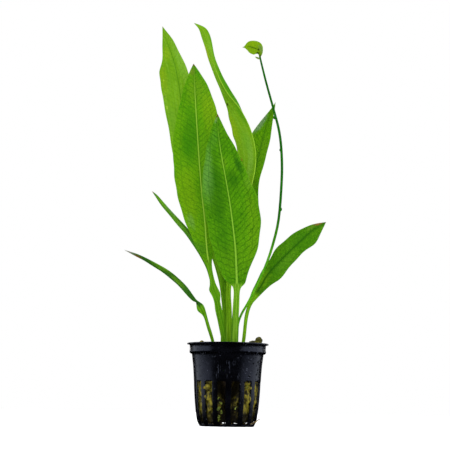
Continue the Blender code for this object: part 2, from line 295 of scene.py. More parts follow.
def surface(tree, shader, colour, rough, shine, relief, strength, depth):
    """Feeds the shader its colour, roughness, shine and a relief of this depth. Gives back the normal."""
    feed(tree, shader.inputs["Base Color"], colour)
    feed(tree, shader.inputs["Roughness"], rough)
    shader.inputs["Specular IOR Level"].default_value = shine
    bump = node(tree, "Bump")
    bump.inputs["Strength"].default_value = strength
    bump.inputs["Distance"].default_value = depth * MM
    feed(tree, bump.inputs["Height"], relief)
    feed(tree, shader.inputs["Normal"], bump.outputs[0])
    return bump.outputs[0]


# ---------------------------------------------------------------- the shared effects

RIB_TAPER = 2.6  # how quickly the midrib thins towards the tip


def vein_group():
    """The net of veins of a sword leaf, from the place across and along the blade in millimetres."""
    tree, given, out = new_group(
        "leaf veins",
        [
            ("Size", "Vector", None),
            ("Span", "Vector", None),
            ("Spacing", "Float", 3.7),
            ("Rise", "Float", 0.78),
            ("Line", "Float", 0.34),
            ("Rib Foot", "Float", 1.8),
            ("Rib Tip", "Float", 0.5),
        ],
        [(label, "Float") for label in ("Cross", "Side", "Net", "Rib", "Rib Flank", "Edge")],
    )
    size = parts(tree, given["Size"])
    span = parts(tree, given["Span"])
    away = sums(tree, "ABSOLUTE", size[0])
    share = sums(tree, "ABSOLUTE", span[0])
    wander = sums(tree, "SUBTRACT", cloud(tree, given["Size"], 0.09, 1.0), 0.5)
    fine_wander = sums(tree, "SUBTRACT", cloud(tree, given["Size"], 0.35, 1.0), 0.5)
    rise = times(tree, given["Rise"], fade(tree, span[1], 0.3, 0.7, 0.45, 1.1))
    climb = sums(tree, "SUBTRACT", size[1], times(tree, away, rise))
    climb = sums(tree, "MULTIPLY_ADD", wander, 4.4, climb)
    climb = sums(tree, "MULTIPLY_ADD", fine_wander, 2.4, climb)
    right_side = sums(tree, "GREATER_THAN", size[0], 0.0)
    climb = sums(tree, "MULTIPLY_ADD", right_side, 1.7, climb)
    beat = sums(tree, "DIVIDE", climb, given["Spacing"])
    off = times(tree, sums(tree, "PINGPONG", beat, 0.5), given["Spacing"])
    cross = fade(tree, off, 0.0, times(tree, given["Line"], 1.9), 1.0, 0.0)
    patchy = fade(tree, cloud(tree, given["Size"], 0.33, 2.0), 0.3, 0.6, 0.4, 1.0)
    cross = times(tree, cross, patchy, fade(tree, share, 0.93, 1.0, 1.0, 0.2))
    half_width = sums(tree, "DIVIDE", away, sums(tree, "MAXIMUM", share, 0.04))

    def lengthwise(place, strength):
        gap = sums(tree, "SUBTRACT", share, place)
        gap = sums(tree, "MULTIPLY_ADD", wander, 0.16, gap)
        gap = sums(tree, "MULTIPLY_ADD", fine_wander, 0.03, gap)
        gap = times(tree, sums(tree, "ABSOLUTE", gap), half_width)
        return fade(tree, gap, 0.0, times(tree, given["Line"], 1.6), strength, 0.0)

    side = sums(tree, "MAXIMUM", lengthwise(0.72, 0.6), lengthwise(0.42, 0.3))
    side = times(tree, side, fade(tree, span[1], 0.3, 0.42), fade(tree, span[1], 0.86, 0.99, 1.0, 0.0))
    cells = node(tree, "TexVoronoi", (given["Size"],), feature="DISTANCE_TO_EDGE")
    cells.inputs["Scale"].default_value = 0.62
    taper = sums(tree, "POWER", sums(tree, "SUBTRACT", 1.0, span[1]), RIB_TAPER)
    rib_width = sums(tree, "SUBTRACT", given["Rib Foot"], given["Rib Tip"])
    rib_width = sums(tree, "MULTIPLY_ADD", rib_width, taper, given["Rib Tip"])
    from_rib = sums(tree, "SUBTRACT", away, rib_width)
    feed(tree, out["Cross"], cross)
    feed(tree, out["Side"], side)
    feed(tree, out["Net"], fade(tree, cells.outputs["Distance"], 0.0, 0.16, 1.0, 0.0))
    feed(tree, out["Rib"], fade(tree, from_rib, -0.2, 0.12, 1.0, 0.0))
    feed(tree, out["Rib Flank"], fade(tree, from_rib, 0.1, 1.5, 1.0, 0.0))
    feed(tree, out["Edge"], fade(tree, share, 0.94, 0.99))
    return tree


def patch_group():
    """A soft oval mark at a place on the leaf, with a ragged rim."""
    tree, given, out = new_group(
        "leaf patch",
        [
            ("Span", "Vector", None),
            ("Size", "Vector", None),
            ("Across", "Float", 0.0),
            ("Along", "Float", 0.5),
            ("Reach Across", "Float", 0.3),
            ("Reach Along", "Float", 0.1),
            ("Rag", "Float", 0.5),
        ],
        [("Mask", "Float")],
    )
    span = parts(tree, given["Span"])
    x = sums(tree, "DIVIDE", sums(tree, "SUBTRACT", span[0], given["Across"]), given["Reach Across"])
    y = sums(tree, "DIVIDE", sums(tree, "SUBTRACT", span[1], given["Along"]), given["Reach Along"])
    far = sums(tree, "SQRT", sums(tree, "ADD", times(tree, x, x), times(tree, y, y)))
    rag = sums(tree, "SUBTRACT", cloud(tree, given["Size"], 0.4, 3.0), 0.5)
    far = sums(tree, "MULTIPLY_ADD", rag, given["Rag"], far)
    feed(tree, out["Mask"], fade(tree, far, 0.35, 1.15, 1.0, 0.0))
    return tree


def speck_group():
    """Small raised specks, dense where the amount is high, from a place in metres."""
    tree, given, out = new_group(
        "specks",
        [("Place", "Vector", None), ("Scale", "Float", 900.0), ("Amount", "Float", 0.4)],
        [("Mask", "Float")],
    )
    cells = node(tree, "TexVoronoi", (given["Place"],), feature="F1")
    feed(tree, cells.inputs["Scale"], given["Scale"])
    lone = node(tree, "SeparateColor", (cells.outputs["Color"],)).outputs[0]
    kept = sums(tree, "LESS_THAN", lone, given["Amount"])
    reach = sums(tree, "MULTIPLY_ADD", lone, 0.25, 0.32)
    dome = fade(tree, sums(tree, "DIVIDE", cells.outputs["Distance"], reach), 0.2, 1.0, 1.0, 0.0)
    feed(tree, out["Mask"], times(tree, dome, kept))
    return tree


VEINS = vein_group()
PATCH = patch_group()
SPECKS = speck_group()


# ---------------------------------------------------------------- finishes

# What a leaf has unless its own look says otherwise. Spacing, line and rib widths are in millimetres.
PLAIN_LEAF = dict(
    spacing=3.7, line=0.34, rib_foot=1.8, rib_tip=0.5, rib_end=0.95, rib_strength=0.85, flank=0.3, net=0.34,
    vein_strength=0.6, fleck=0.5, streak=0.15, blade_from=0.3, edge_strength=0.5, tip=(90, 60, 25),
    tip_from=0.985, shine=0.04, bump=0.5, through=0.35, marks=(), glossy=(),
)


def patch(tree, size, span, across, along, reach_across, reach_along, rag=0.5):
    return placed_group(
        tree, PATCH, Span=span, Size=size, Across=across, Along=along,
        Reach_Across=reach_across, Reach_Along=reach_along, Rag=rag,
    )["Mask"]


def leaf_finish(name, own_look):
    """Leaf skin: two greens in soft clouds, marks at their places, some of them painted sheen and painted
    shade, the veins and the midrib over them.
    """
    made, tree, shader = new_finish(name)
    look = PLAIN_LEAF | own_look
    size = node(tree, "UVMap", uv_map="size").outputs[0]
    span = node(tree, "UVMap", uv_map="span").outputs[0]
    place = node(tree, "TexCoord").outputs["Object"]
    along = parts(tree, span)[1]
    veins = placed_group(
        tree, VEINS, Size=size, Span=span, Spacing=look["spacing"], Line=look["line"],
        Rib_Foot=look["rib_foot"], Rib_Tip=look["rib_tip"],
    )

    def green(label, otherwise="light"):
        """The look's own colour for this, or else the one that stands in for it."""
        return paint(*look.get(label, look[otherwise]))

    colour = two_tone(tree, cloud(tree, place, 45.0, 3.0, 0.6), 0.35, 0.65, look["dark"], look["light"])
    flecks = fade(tree, cloud(tree, place, 420.0, 4.0, 0.7), 0.35, 0.65, 0.0, look["fleck"])
    colour = mixed(tree, flecks, colour, green("light"))
    drawn = cloud(tree, moved(tree, size, (1.1, 0.045, 1.0)), 1.0, 3.0, 0.6)
    colour = mixed(tree, fade(tree, drawn, 0.42, 0.66, 0.0, look["streak"]), colour, green("streak_green"))
    # Most of these are the leaf's own colour; some are painted sheen or painted shade, noted in the looks.
    for *where, tint, amount in look["marks"]:
        colour = mixed(tree, times(tree, patch(tree, size, span, *where), amount), colour, paint(*tint))
    colour = mixed(tree, times(tree, veins["Net"], look["net"]), colour, green("vein"))
    blade = fade(tree, along, look["blade_from"], look["blade_from"] + 0.05)
    lines = times(tree, sums(tree, "MAXIMUM", veins["Cross"], veins["Side"]), look["vein_strength"], blade)
    colour = mixed(tree, lines, colour, green("vein"))
    colour = mixed(tree, times(tree, veins["Rib Flank"], look["flank"]), colour, green("vein"))
    rib_amount = fade(tree, along, look["rib_end"] - 0.12, look["rib_end"], 1.0, 0.15)
    rib_amount = times(tree, veins["Rib"], rib_amount, look["rib_strength"])
    grain = fade(tree, cloud(tree, moved(tree, size, (1.2, 0.05, 1.0)), 1.0, 2.0), 0.35, 0.65)
    stem_colour = mixed(tree, grain, green("stem"), green("stem_light", "rib"))
    colour = mixed(tree, rib_amount, colour, mixed(tree, blade, stem_colour, green("rib")))
    stalk = times(tree, sums(tree, "SUBTRACT", 1.0, blade), 0.85)
    colour = mixed(tree, stalk, colour, stem_colour)
    colour = mixed(tree, times(tree, veins["Edge"], look["edge_strength"]), colour, green("edge"))
    tip = times(tree, fade(tree, along, look["tip_from"], look["tip_from"] + 0.012), 0.85)
    colour = mixed(tree, tip, colour, green("tip"))
    rough = fade(tree, cloud(tree, place, 120.0, 2.0), 0.3, 0.7, 0.45, 0.6)
    relief = sums(tree, "MULTIPLY_ADD", lines, -0.6, times(tree, veins["Net"], -0.25))
    relief = sums(tree, "MULTIPLY_ADD", cloud(tree, place, 330.0, 3.0), 0.5, relief)
    skin = surface(tree, shader, colour, rough, look["shine"], relief, look["bump"], 0.35)
    if look["glossy"]:
        bloom = 0.0
        for *where, amount in look["glossy"]:
            spot = times(tree, patch(tree, size, span, *where, rag=0.25), amount)
            bloom = sums(tree, "MAXIMUM", bloom, spot)
        feed(tree, shader.inputs["Coat Weight"], bloom)
        shader.inputs["Coat Roughness"].default_value = 0.4
    through = node(tree, "BsdfTranslucent")
    feed(tree, through.inputs["Color"], mixed(tree, 1.0, colour, (1.15, 1.1, 0.5, 1.0), "MULTIPLY"))
    feed(tree, through.inputs["Normal"], skin)
    both = node(tree, "MixShader", (look["through"], shader.outputs[0], through.outputs[0]))
    tree.links.new(both.outputs[0], tree.nodes["Material Output"].inputs["Surface"])
    return made


def pot_finish():
    """Moulded black plastic: a bluish sheen, dried specks at the sides, faint drag marks down the wall."""
    made, tree, shader = new_finish("black pot plastic")
    place = node(tree, "TexCoord").outputs["Object"]
    axes = parts(tree, place)
    aside = sums(tree, "ABSOLUTE", axes[0])
    drift = fade(tree, cloud(tree, place, 90.0, 3.0), 0.35, 0.7)
    colour = mixed(tree, drift, (0.0006, 0.0006, 0.0011, 1.0), (0.0016, 0.0017, 0.0028, 1.0))
    high = fade(tree, axes[2], 24 * MM, 38 * MM, 0.4, 1.0)
    right = fade(tree, axes[0], -4 * MM, 12 * MM, 0.45, 1.0)
    crowd = times(tree, fade(tree, aside, 6 * MM, 14 * MM), high, right)
    crowd = sums(tree, "MULTIPLY_ADD", crowd, 0.6, 0.03)
    fine = placed_group(tree, SPECKS, Place=place, Scale=600.0, Amount=crowd)["Mask"]
    few = times(tree, crowd, 0.35)
    large = placed_group(tree, SPECKS, Place=place, Scale=360.0, Amount=few)["Mask"]
    specks = sums(tree, "MAXIMUM", fine, large)
    drag = fade(tree, cloud(tree, moved(tree, place, (1100.0, 1100.0, 90.0)), 1.0, 2.0), 0.6, 0.68)
    drag = times(tree, drag, fade(tree, aside, 6 * MM, 11 * MM, 1.0, 0.15))
    above = fade(tree, axes[2], 30 * MM, 34 * MM)
    below = fade(tree, axes[2], 40 * MM, 44 * MM, 1.0, 0.0)
    drag = times(tree, drag, above, below)
    colour = mixed(tree, times(tree, fine, 0.35), colour, (0.1, 0.11, 0.16, 1.0))
    colour = mixed(tree, times(tree, drag, 0.6), colour, (0.03, 0.034, 0.05, 1.0))
    dull = fade(tree, cloud(tree, place, 260.0, 4.0, 0.6), 0.3, 0.7, 0.2, 0.29)
    dull = mixed(tree, specks, dull, (0.14, 0.14, 0.14, 1.0))
    relief = sums(tree, "MULTIPLY_ADD", specks, 1.0, times(tree, drag, 0.3))
    relief = sums(tree, "MULTIPLY_ADD", cloud(tree, place, 1500.0, 2.0), 0.05, relief)
    surface(tree, shader, colour, dull, 0.38, relief, 0.8, 0.7)
    shader.inputs["Specular Tint"].default_value = (0.68, 0.73, 1.0, 1.0)
    return made


def wool_finish(name, bright, dark, foot):
    """Damp stone wool: olive fibres and lumps, brown at the foot, and dark in the gap at the front: partly
    painted shade inside the pot, partly the damp wool's own brown.
    """
    made, tree, shader = new_finish(name)
    place = node(tree, "TexCoord").outputs["Object"]
    axes = parts(tree, place)
    height = axes[2]
    fibres = cloud(tree, moved(tree, place, (620.0, 620.0, 130.0)), 1.0, 4.0, 0.65, 0.6)
    lumps = cloud(tree, place, 240.0, 4.0, 0.6, 0.4)
    both = sums(tree, "MULTIPLY_ADD", lumps, 0.6, times(tree, fibres, 0.4))
    colour = two_tone(tree, both, 0.4, 0.58, dark, bright)
    pale = fade(tree, cloud(tree, place, 800.0, 2.0), 0.66, 0.76, 0.0, 0.45)
    colour = mixed(tree, pale, colour, paint(160, 152, 92))
    brown = fade(tree, sums(tree, "MULTIPLY_ADD", lumps, 12 * MM, height), 21 * MM, 12 * MM)
    colour = mixed(tree, times(tree, brown, 0.9), colour, paint(*foot))
    # Painted shade in the gap at the front, darker towards the top of the slots, mixed with the damp,
    # root-filled wool's own dark brown.
    middle = fade(tree, sums(tree, "ABSOLUTE", axes[0]), 7.5 * MM, 10.5 * MM, 1.0, 0.0)
    front = fade(tree, axes[1], -8 * MM, -4 * MM, 1.0, 0.0)
    low = fade(tree, height, 32 * MM, 40 * MM, 1.0, 0.0)
    ragged = fade(tree, both, 0.5, 0.58, 0.97, 0.6)
    gap_shade_and_damp = sums(tree, "MAXIMUM", ragged, fade(tree, height, 15 * MM, 23 * MM, 0.0, 0.98))
    colour = mixed(tree, times(tree, middle, front, low, gap_shade_and_damp), colour, paint(*foot))
    surface(tree, shader, colour, 0.5, 0.14, both, 0.9, 0.8)
    return made


def stem_finish():
    """Flower stalk: smooth dark green, lighter towards its foot, with faint lengthwise streaks."""
    made, tree, shader = new_finish("flower stalk green")
    place = node(tree, "TexCoord").outputs["Object"]
    streaks = cloud(tree, moved(tree, place, (900.0, 900.0, 40.0)), 1.0, 3.0, 0.6)
    low = two_tone(tree, streaks, 0.35, 0.65, (58, 128, 10), (86, 150, 24))
    high = two_tone(tree, streaks, 0.35, 0.65, (12, 70, 3), (24, 88, 8))
    colour = mixed(tree, fade(tree, parts(tree, place)[2], 84 * MM, 150 * MM), low, high)
    rough = fade(tree, streaks, 0.3, 0.7, 0.45, 0.6)
    surface(tree, shader, colour, rough, 0.02, streaks, 0.2, 0.1)
    return made


def root_finish():
    """Roots: dark brown at the crown, paler and tan where the fine ones reach the wall."""
    made, tree, shader = new_finish("brown root")
    place = node(tree, "TexCoord").outputs["Object"]
    axes = parts(tree, place)
    out = sums(tree, "MULTIPLY_ADD", axes[0], axes[0], times(tree, axes[1], axes[1]))
    out = sums(tree, "SQRT", out)
    blots = cloud(tree, place, 420.0, 4.0, 0.65)
    brown = two_tone(tree, blots, 0.38, 0.62, (16, 11, 4), (46, 34, 14))
    tan = two_tone(tree, blots, 0.38, 0.62, (96, 74, 36), (168, 144, 88))
    colour = mixed(tree, fade(tree, out, 8 * MM, 17 * MM), brown, tan)
    surface(tree, shader, colour, fade(tree, blots, 0.3, 0.7, 0.5, 0.7), 0.25, blots, 0.7, 0.3)
    return made


def scrap_finish():
    """Curled scraps of green film on the wool: dull olive to yellow-green, with pale blots."""
    made, tree, shader = new_finish("green scrap")
    place = node(tree, "TexCoord").outputs["Object"]
    blots = cloud(tree, place, 520.0, 4.0, 0.65)
    colour = two_tone(tree, blots, 0.36, 0.6, (44, 54, 10), (104, 118, 26))
    pale = fade(tree, cloud(tree, place, 900.0, 2.0), 0.6, 0.74, 0.0, 0.7)
    colour = mixed(tree, pale, colour, paint(176, 172, 104))
    surface(tree, shader, colour, fade(tree, blots, 0.3, 0.7, 0.35, 0.55), 0.3, blots, 0.6, 0.3)
    return made


# ---------------------------------------------------------------- leaves

SIDE = 5  # strips of the blade each side of the midrib
ROWS_A_STATION = 3
BLADE = 0.16  # half the blade's thickness
THINNEST = 0.02  # the least half width or half thickness
FULL_WIDTH = 12.0  # a half leaf this wide or more has the whole stray of its edge
EDGE_STRAY = 0.5

# Each leaf is a row of stations from the foot of its stalk to its tip: midrib x, y, z, then the half
# widths left and right of it as seen from the front, then how far each half turns forwards in degrees.
FRONT_LEAF = [
    (4.5, -3.2, 49.3, 1.8, 1.9, 0, 0),
    (4.8, -5.0, 64.0, 1.9, 2.0, 0, 0),
    (5.1, -8.0, 77.0, 2.1, 2.1, 0, 0),
    (5.4, -11.0, 90.5, 2.2, 2.2, 0, 0),
    (5.4, -12.2, 94.5, 4.9, 5.4, -3, 3),
    (5.1, -14.0, 100.5, 10.2, 7.2, -6, 6),
    (4.1, -18.0, 116.5, 15.0, 14.8, -10, 8),
    (2.1, -21.0, 132.5, 17.2, 18.8, -12, 8),
    (-0.1, -23.0, 147.0, 17.8, 18.7, -12, 8),
    (-3.0, -25.0, 162.5, 16.6, 15.0, -12, 8),
    (-6.3, -26.0, 179.0, 11.6, 11.0, -12, 8),
    (-8.7, -25.0, 195.0, 5.7, 5.2, -10, 6),
    (-9.4, -23.0, 208.0, 0.0, 0.0, 0, 0),
]
LEFT_LEAF = [
    (-1.4, -1.2, 49.3, 1.4, 1.4, 0, 0),
    (-4.2, -3.0, 64.5, 1.7, 1.7, 0, 0),
    (-6.4, -5.0, 76.5, 2.3, 2.2, 0, 0),
    (-7.6, -5.9, 82.2, 2.0, 2.1, 0, 0),
    (-8.8, -6.7, 86.8, 2.4, 3.6, -12, 12),
    (-10.0, -7.3, 91.0, 3.3, 2.7, -12, 8),
    (-11.0, -7.8, 95.4, 1.75, 1.75, 0, 0),
    (-13.2, -9.2, 106.5, 2.0, 1.6, 0, 0),
    (-15.1, -10.0, 117.0, 5.9, 4.4, -5, 5),
    (-16.7, -11.0, 136.0, 13.2, 10.0, -10, 8),
    (-19.1, -12.0, 154.5, 16.7, 14.5, -10, 10),
    (-21.1, -12.0, 175.0, 18.0, 16.8, -10, 10),
    (-22.9, -11.0, 196.0, 17.0, 16.6, -10, 10),
    (-24.9, -9.0, 221.0, 10.7, 12.2, -8, 8),
    (-26.0, -6.0, 237.5, 5.0, 5.9, 0, 0),
    (-26.8, -4.0, 248.0, 0.0, 0.0, 0, 0),
]
TALL_LEAF = [
    (-2.6, 5.2, 49.5, 1.2, 1.2, 0, 0),
    (-1.9, 7.0, 61.0, 1.3, 1.3, 0, 0),
    (-3.2, 8.0, 81.5, 1.3, 1.3, 0, 0),
    (-5.0, 9.5, 99.0, 2.1, 2.1, 0, 0),
    (-10.5, 12.0, 120.0, 3.4, 3.4, 0, 0),
    (-15.7, 14.0, 137.5, 7.6, 6.9, -6, -6),
    (-22.5, 17.0, 162.5, 10.5, 9.0, -12, -8),
    (-28.7, 19.0, 188.0, 12.0, 10.4, -14, -10),
    (-33.5, 20.0, 212.0, 11.9, 10.7, -15, -10),
    (-36.8, 20.0, 234.0, 13.2, 9.2, -15, -10),
    (-39.5, 19.0, 248.0, 12.9, 8.4, -15, -10),
    (-41.6, 18.0, 256.0, 9.4, 6.4, -12, -8),
    (-44.6, 16.6, 264.5, 5.6, 5.4, -12, -8),
    (-47.2, 15.2, 271.5, 2.9, 3.6, 0, 0),
    (-50.0, 13.0, 280.0, 0.0, 0.0, 0, 0),
]
FOLDED_LEAF = [
    (0.5, 3.0, 49.5, 1.3, 1.9, 0, 0),
    (0.4, 3.6, 61.0, 1.4, 2.0, 0, 0),
    (0.4, 4.8, 77.0, 1.9, 2.1, 0, 0),
    (-0.2, 6.5, 94.0, 1.9, 1.9, 0, -20),
    (3.6, 8.0, 119.5, 4.4, 4.0, 5, -55),
    (8.8, 9.0, 143.0, 8.5, 6.0, 8, -75),
    (14.0, 9.0, 162.0, 11.5, 6.5, 8, -85),
    (16.9, 8.0, 176.0, 12.3, 6.5, 8, -88),
    (17.3, 7.0, 188.5, 12.4, 6.5, 8, -88),
    (13.7, 6.0, 204.0, 13.1, 6.5, 5, -88),
    (6.3, 6.0, 218.5, 9.7, 6.0, -5, -78),
    (-2.6, 7.0, 229.5, 4.3, 4.6, -30, -42),
    (-9.0, 8.0, 241.5, 3.2, 4.2, -45, -42),
    (-13.8, 9.0, 254.0, 3.4, 3.8, -50, -50),
    (-17.2, 9.0, 265.5, 3.4, 4.0, -45, -40),
    (-20.0, 8.0, 274.5, 3.0, 3.2, -25, -15),
    (-23.4, 7.5, 278.4, 1.5, 1.3, -10, -10),
    (-27.5, 7.0, 280.8, 0.0, 0.0, 0, 0),
]
RIGHT_LEAF = [
    (2.6, 6.2, 49.5, 1.2, 1.2, 0, 0),
    (0.8, 9.0, 61.0, 1.3, 1.3, 0, 0),
    (-1.2, 11.5, 78.5, 1.4, 1.4, 0, 0),
    (-1.6, 14.0, 96.0, 1.7, 1.7, 0, 0),
    (4.2, 18.0, 122.0, 5.0, 5.0, -5, 0),
    (11.4, 20.0, 145.5, 8.4, 8.7, -10, 5),
    (15.7, 21.0, 167.0, 9.5, 4.2, -12, 8),
    (19.3, 20.0, 186.0, 10.4, 5.2, -12, 10),
    (23.2, 18.0, 203.0, 8.4, 5.2, -12, 10),
    (26.8, 14.0, 215.0, 3.0, 2.8, -8, 5),
    (29.6, 12.0, 221.5, 1.0, 1.2, 0, 0),
    (31.0, 11.5, 225.5, 0.0, 0.0, 0, 0),
]
INNER_LEAF = [
    (2.9, 0.3, 49.4, 1.1, 1.1, 0, 0),
    (3.0, -0.4, 61.0, 1.1, 1.1, 0, 0),
    (4.0, -2.5, 77.5, 1.2, 1.2, 0, 0),
    (4.9, -5.5, 94.0, 1.5, 1.5, 0, 0),
    (5.2, -8.5, 114.0, 4.0, 4.0, -5, 5),
    (5.9, -10.0, 138.0, 6.0, 5.4, -8, 8),
    (6.6, -11.0, 158.0, 4.7, 4.0, -8, 8),
    (7.1, -11.0, 170.5, 2.7, 2.0, 0, 0),
    (7.5, -11.0, 180.5, 0.0, 0.0, 0, 0),
]
NARROW_LEAF = [
    (-4.4, 1.6, 49.3, 1.0, 1.0, 0, 0),
    (-3.8, 1.2, 61.0, 1.1, 1.1, 0, 0),
    (-6.1, -0.2, 74.0, 1.1, 1.1, 0, 0),
    (-9.6, -1.2, 89.0, 1.2, 1.2, 0, 0),
    (-13.6, -2.2, 104.5, 1.4, 1.4, 0, 0),
    (-18.4, -3.2, 115.5, 2.4, 2.6, -30, -30),
    (-27.0, -4.0, 128.0, 3.4, 3.4, -55, -55),
    (-36.0, -5.0, 138.0, 2.9, 2.6, -55, -55),
    (-45.0, -6.0, 147.5, 1.8, 2.2, -50, -50),
    (-50.2, -7.0, 154.0, 0.9, 0.9, -30, -30),
    (-53.3, -8.0, 157.0, 0.0, 0.0, 0, 0),
]
DROOPING_LEAF = [
    (-7.8, -3.0, 45.8, 1.0, 1.0, 0, 0),
    (-10.4, -5.0, 57.0, 1.1, 1.1, 0, 0),
    (-13.4, -8.0, 66.0, 1.1, 1.1, 0, 0),
    (-15.4, -9.8, 72.6, 1.3, 1.2, 0, 0),
    (-16.8, -11.2, 76.2, 2.9, 1.5, 20, 10),
    (-18.6, -12.8, 79.0, 3.7, 1.9, 30, -20),
    (-21.0, -14.6, 81.8, 0.9, 0.8, -10, -40),
    (-23.2, -16.2, 83.6, 2.2, 1.3, -40, -40),
    (-29.7, -20.0, 91.0, 3.2, 2.3, -50, -50),
    (-37.6, -24.0, 98.2, 3.2, 2.0, -50, -50),
    (-46.8, -28.0, 103.8, 2.7, 1.6, -50, -50),
    (-56.0, -31.0, 108.2, 1.4, 1.2, -40, -40),
    (-63.0, -33.0, 111.0, 0.7, 0.7, 0, 0),
    (-68.8, -35.0, 113.2, 0.0, 0.0, 0, 0),
]
LOW_LEAF = [
    (8.1, -2.0, 45.8, 1.0, 1.0, 0, 0),
    (10.6, -3.0, 57.5, 1.15, 1.15, 0, 0),
    (11.9, -4.5, 72.0, 1.2, 1.2, 0, 0),
    (14.1, -6.0, 80.5, 1.3, 1.3, 0, 0),
    (17.0, -7.5, 86.0, 2.7, 2.2, -5, 5),
    (20.9, -9.0, 92.0, 4.0, 3.6, -10, 8),
    (25.5, -11.0, 100.3, 4.6, 7.4, -12, 8),
    (31.0, -13.0, 106.7, 6.1, 8.4, -12, 10),
    (37.2, -15.0, 113.2, 7.9, 7.2, -12, 10),
    (44.4, -17.0, 120.1, 7.7, 6.9, -12, 10),
    (51.2, -19.0, 126.6, 6.0, 7.7, -10, 8),
    (57.2, -20.0, 131.4, 3.3, 5.4, -5, 5),
    (64.1, -21.0, 135.7, 0.0, 0.0, 0, 0),
]
YOUNG_LEAF = [
    (19.2, -4.6, 253.6, 0.6, 0.6, 0, 0),
    (19.3, -5.6, 256.0, 1.8, 1.9, 0, 0),
    (17.4, -7.0, 258.0, 4.0, 4.9, -10, 10),
    (14.4, -9.0, 258.6, 4.6, 5.1, -12, 10),
    (11.4, -10.0, 258.9, 3.8, 4.0, -10, 8),
    (9.3, -10.2, 258.7, 1.6, 1.7, 0, 0),
    (8.2, -10.3, 258.5, 0.5, 0.5, 0, 0),
    (6.7, -10.4, 258.3, 0.0, 0.0, 0, 0),
]
BRACT = [
    (19.3, -4.2, 252.0, 0.35, 0.35, 0, 0),
    (17.4, -4.6, 252.7, 0.7, 0.6, 0, 0),
    (15.7, -5.2, 253.3, 0.0, 0.0, 0, 0),
]


Row = namedtuple("Row", "middle axes left right left_turn right_turn rib gone share")


def stations_to_rows(stations, steps):
    """The stations with evened rows between them, this many from one to the next."""
    last = (len(stations) - 1) * steps
    return [eased(stations, i / steps) for i in range(last)] + [list(stations[-1])]


def stray(width, beat):
    """How far the leaf's edge strays in or out here: less where the leaf is narrow."""
    return min(width / FULL_WIDTH, 1.0) * EDGE_STRAY * math.sin(beat)


def leaf_rows(stations, rib_tip, waves):
    """Places the rows of a leaf: each with its middle, its axes, its half widths, its turns and its rib."""
    rows = stations_to_rows(stations, ROWS_A_STATION)
    last = len(rows) - 1
    middles = [Vector(row[:3]) for row in rows]
    foot = 0.5 * (stations[0][3] + stations[0][4])
    ripple, length_of_wave, start = waves
    gone = 0.0
    found = []
    for i, row in enumerate(rows):
        ahead = (middles[min(i + 1, last)] - middles[max(i - 1, 0)]).normalized()
        face = (FRONT - ahead * ahead.dot(FRONT)).normalized()
        across = ahead.cross(face)
        if i:
            gone += (middles[i] - middles[i - 1]).length
        share = i / last
        rib = rib_tip + (foot - rib_tip) * (1.0 - share) ** RIB_TAPER
        left = max(row[3], THINNEST)
        right = max(row[4], THINNEST)
        if 0 < i < last:
            left += stray(left, 0.41 * gone + 2.0 * start)
            right += stray(right, 0.36 * gone + 3.0 * start + 1.0)
        swell = ripple * min(max((left + right) / foot - 3.0, 0.0) / 4.0, 1.0)
        beat = 2 * math.pi * gone / length_of_wave
        left_turn = row[5] + swell * math.sin(beat + start)
        right_turn = row[6] + swell * math.sin(beat * 1.13 + start + 2.1)
        axes = Matrix((across, ahead, face)).transposed()
        found.append(Row(middles[i], axes, left, right, left_turn, right_turn, rib, gone, share))
    return found


def flank_width(rib, width):
    """How far out the first strip beside the midrib ends."""
    return min(rib + 0.35, 0.6 * width)


def lay_row(line, y, row):
    """Shapes one straight row of the grid and carries it to its place on the leaf."""
    level = Vector((0.0, y, 0.0))
    first = 1.0 / SIDE
    left = (-1, line[:SIDE], row.left, row.left_turn)
    right = (1, line[SIDE + 1:], row.right, row.right_turn)
    for side, strips, width, bend in (left, right):
        flank = flank_width(row.rib, width)
        choose(strips)
        stretch(((width - flank) / (1.0 - first) * MM, 1.0, 1.0), (side * first, y, 0.0))
        shift((side * (flank * MM - first), 0.0, 0.0))
        turn("Y", -side * math.radians(bend), level)
        let_go(strips)
    choose(line)
    swing(row.axes, level)
    shift(row.middle * MM - level)
    let_go(line)


def spot_in_row(row, k):
    """The side that the k-th point of a row is on, how far out it lies and how wide the leaf is there."""
    step = abs(k - SIDE)
    side, width = (-1, row.left) if k < SIDE else (1, row.right)
    flank = flank_width(row.rib, width)
    reach = 0.0 if step == 0 else flank + (width - flank) * (step - 1) / (SIDE - 1)
    return side, reach, width


def half_thickness(rib, reach, width, blade):
    """Half the leaf's thickness: round over the midrib, then the blade's own."""
    inside = max(0.0, 1.0 - (reach / min(rib, width)) ** 2)
    return max(min(blade, 0.5 * width), 0.85 * rib * math.sqrt(inside) * min(1.0, width / rib))


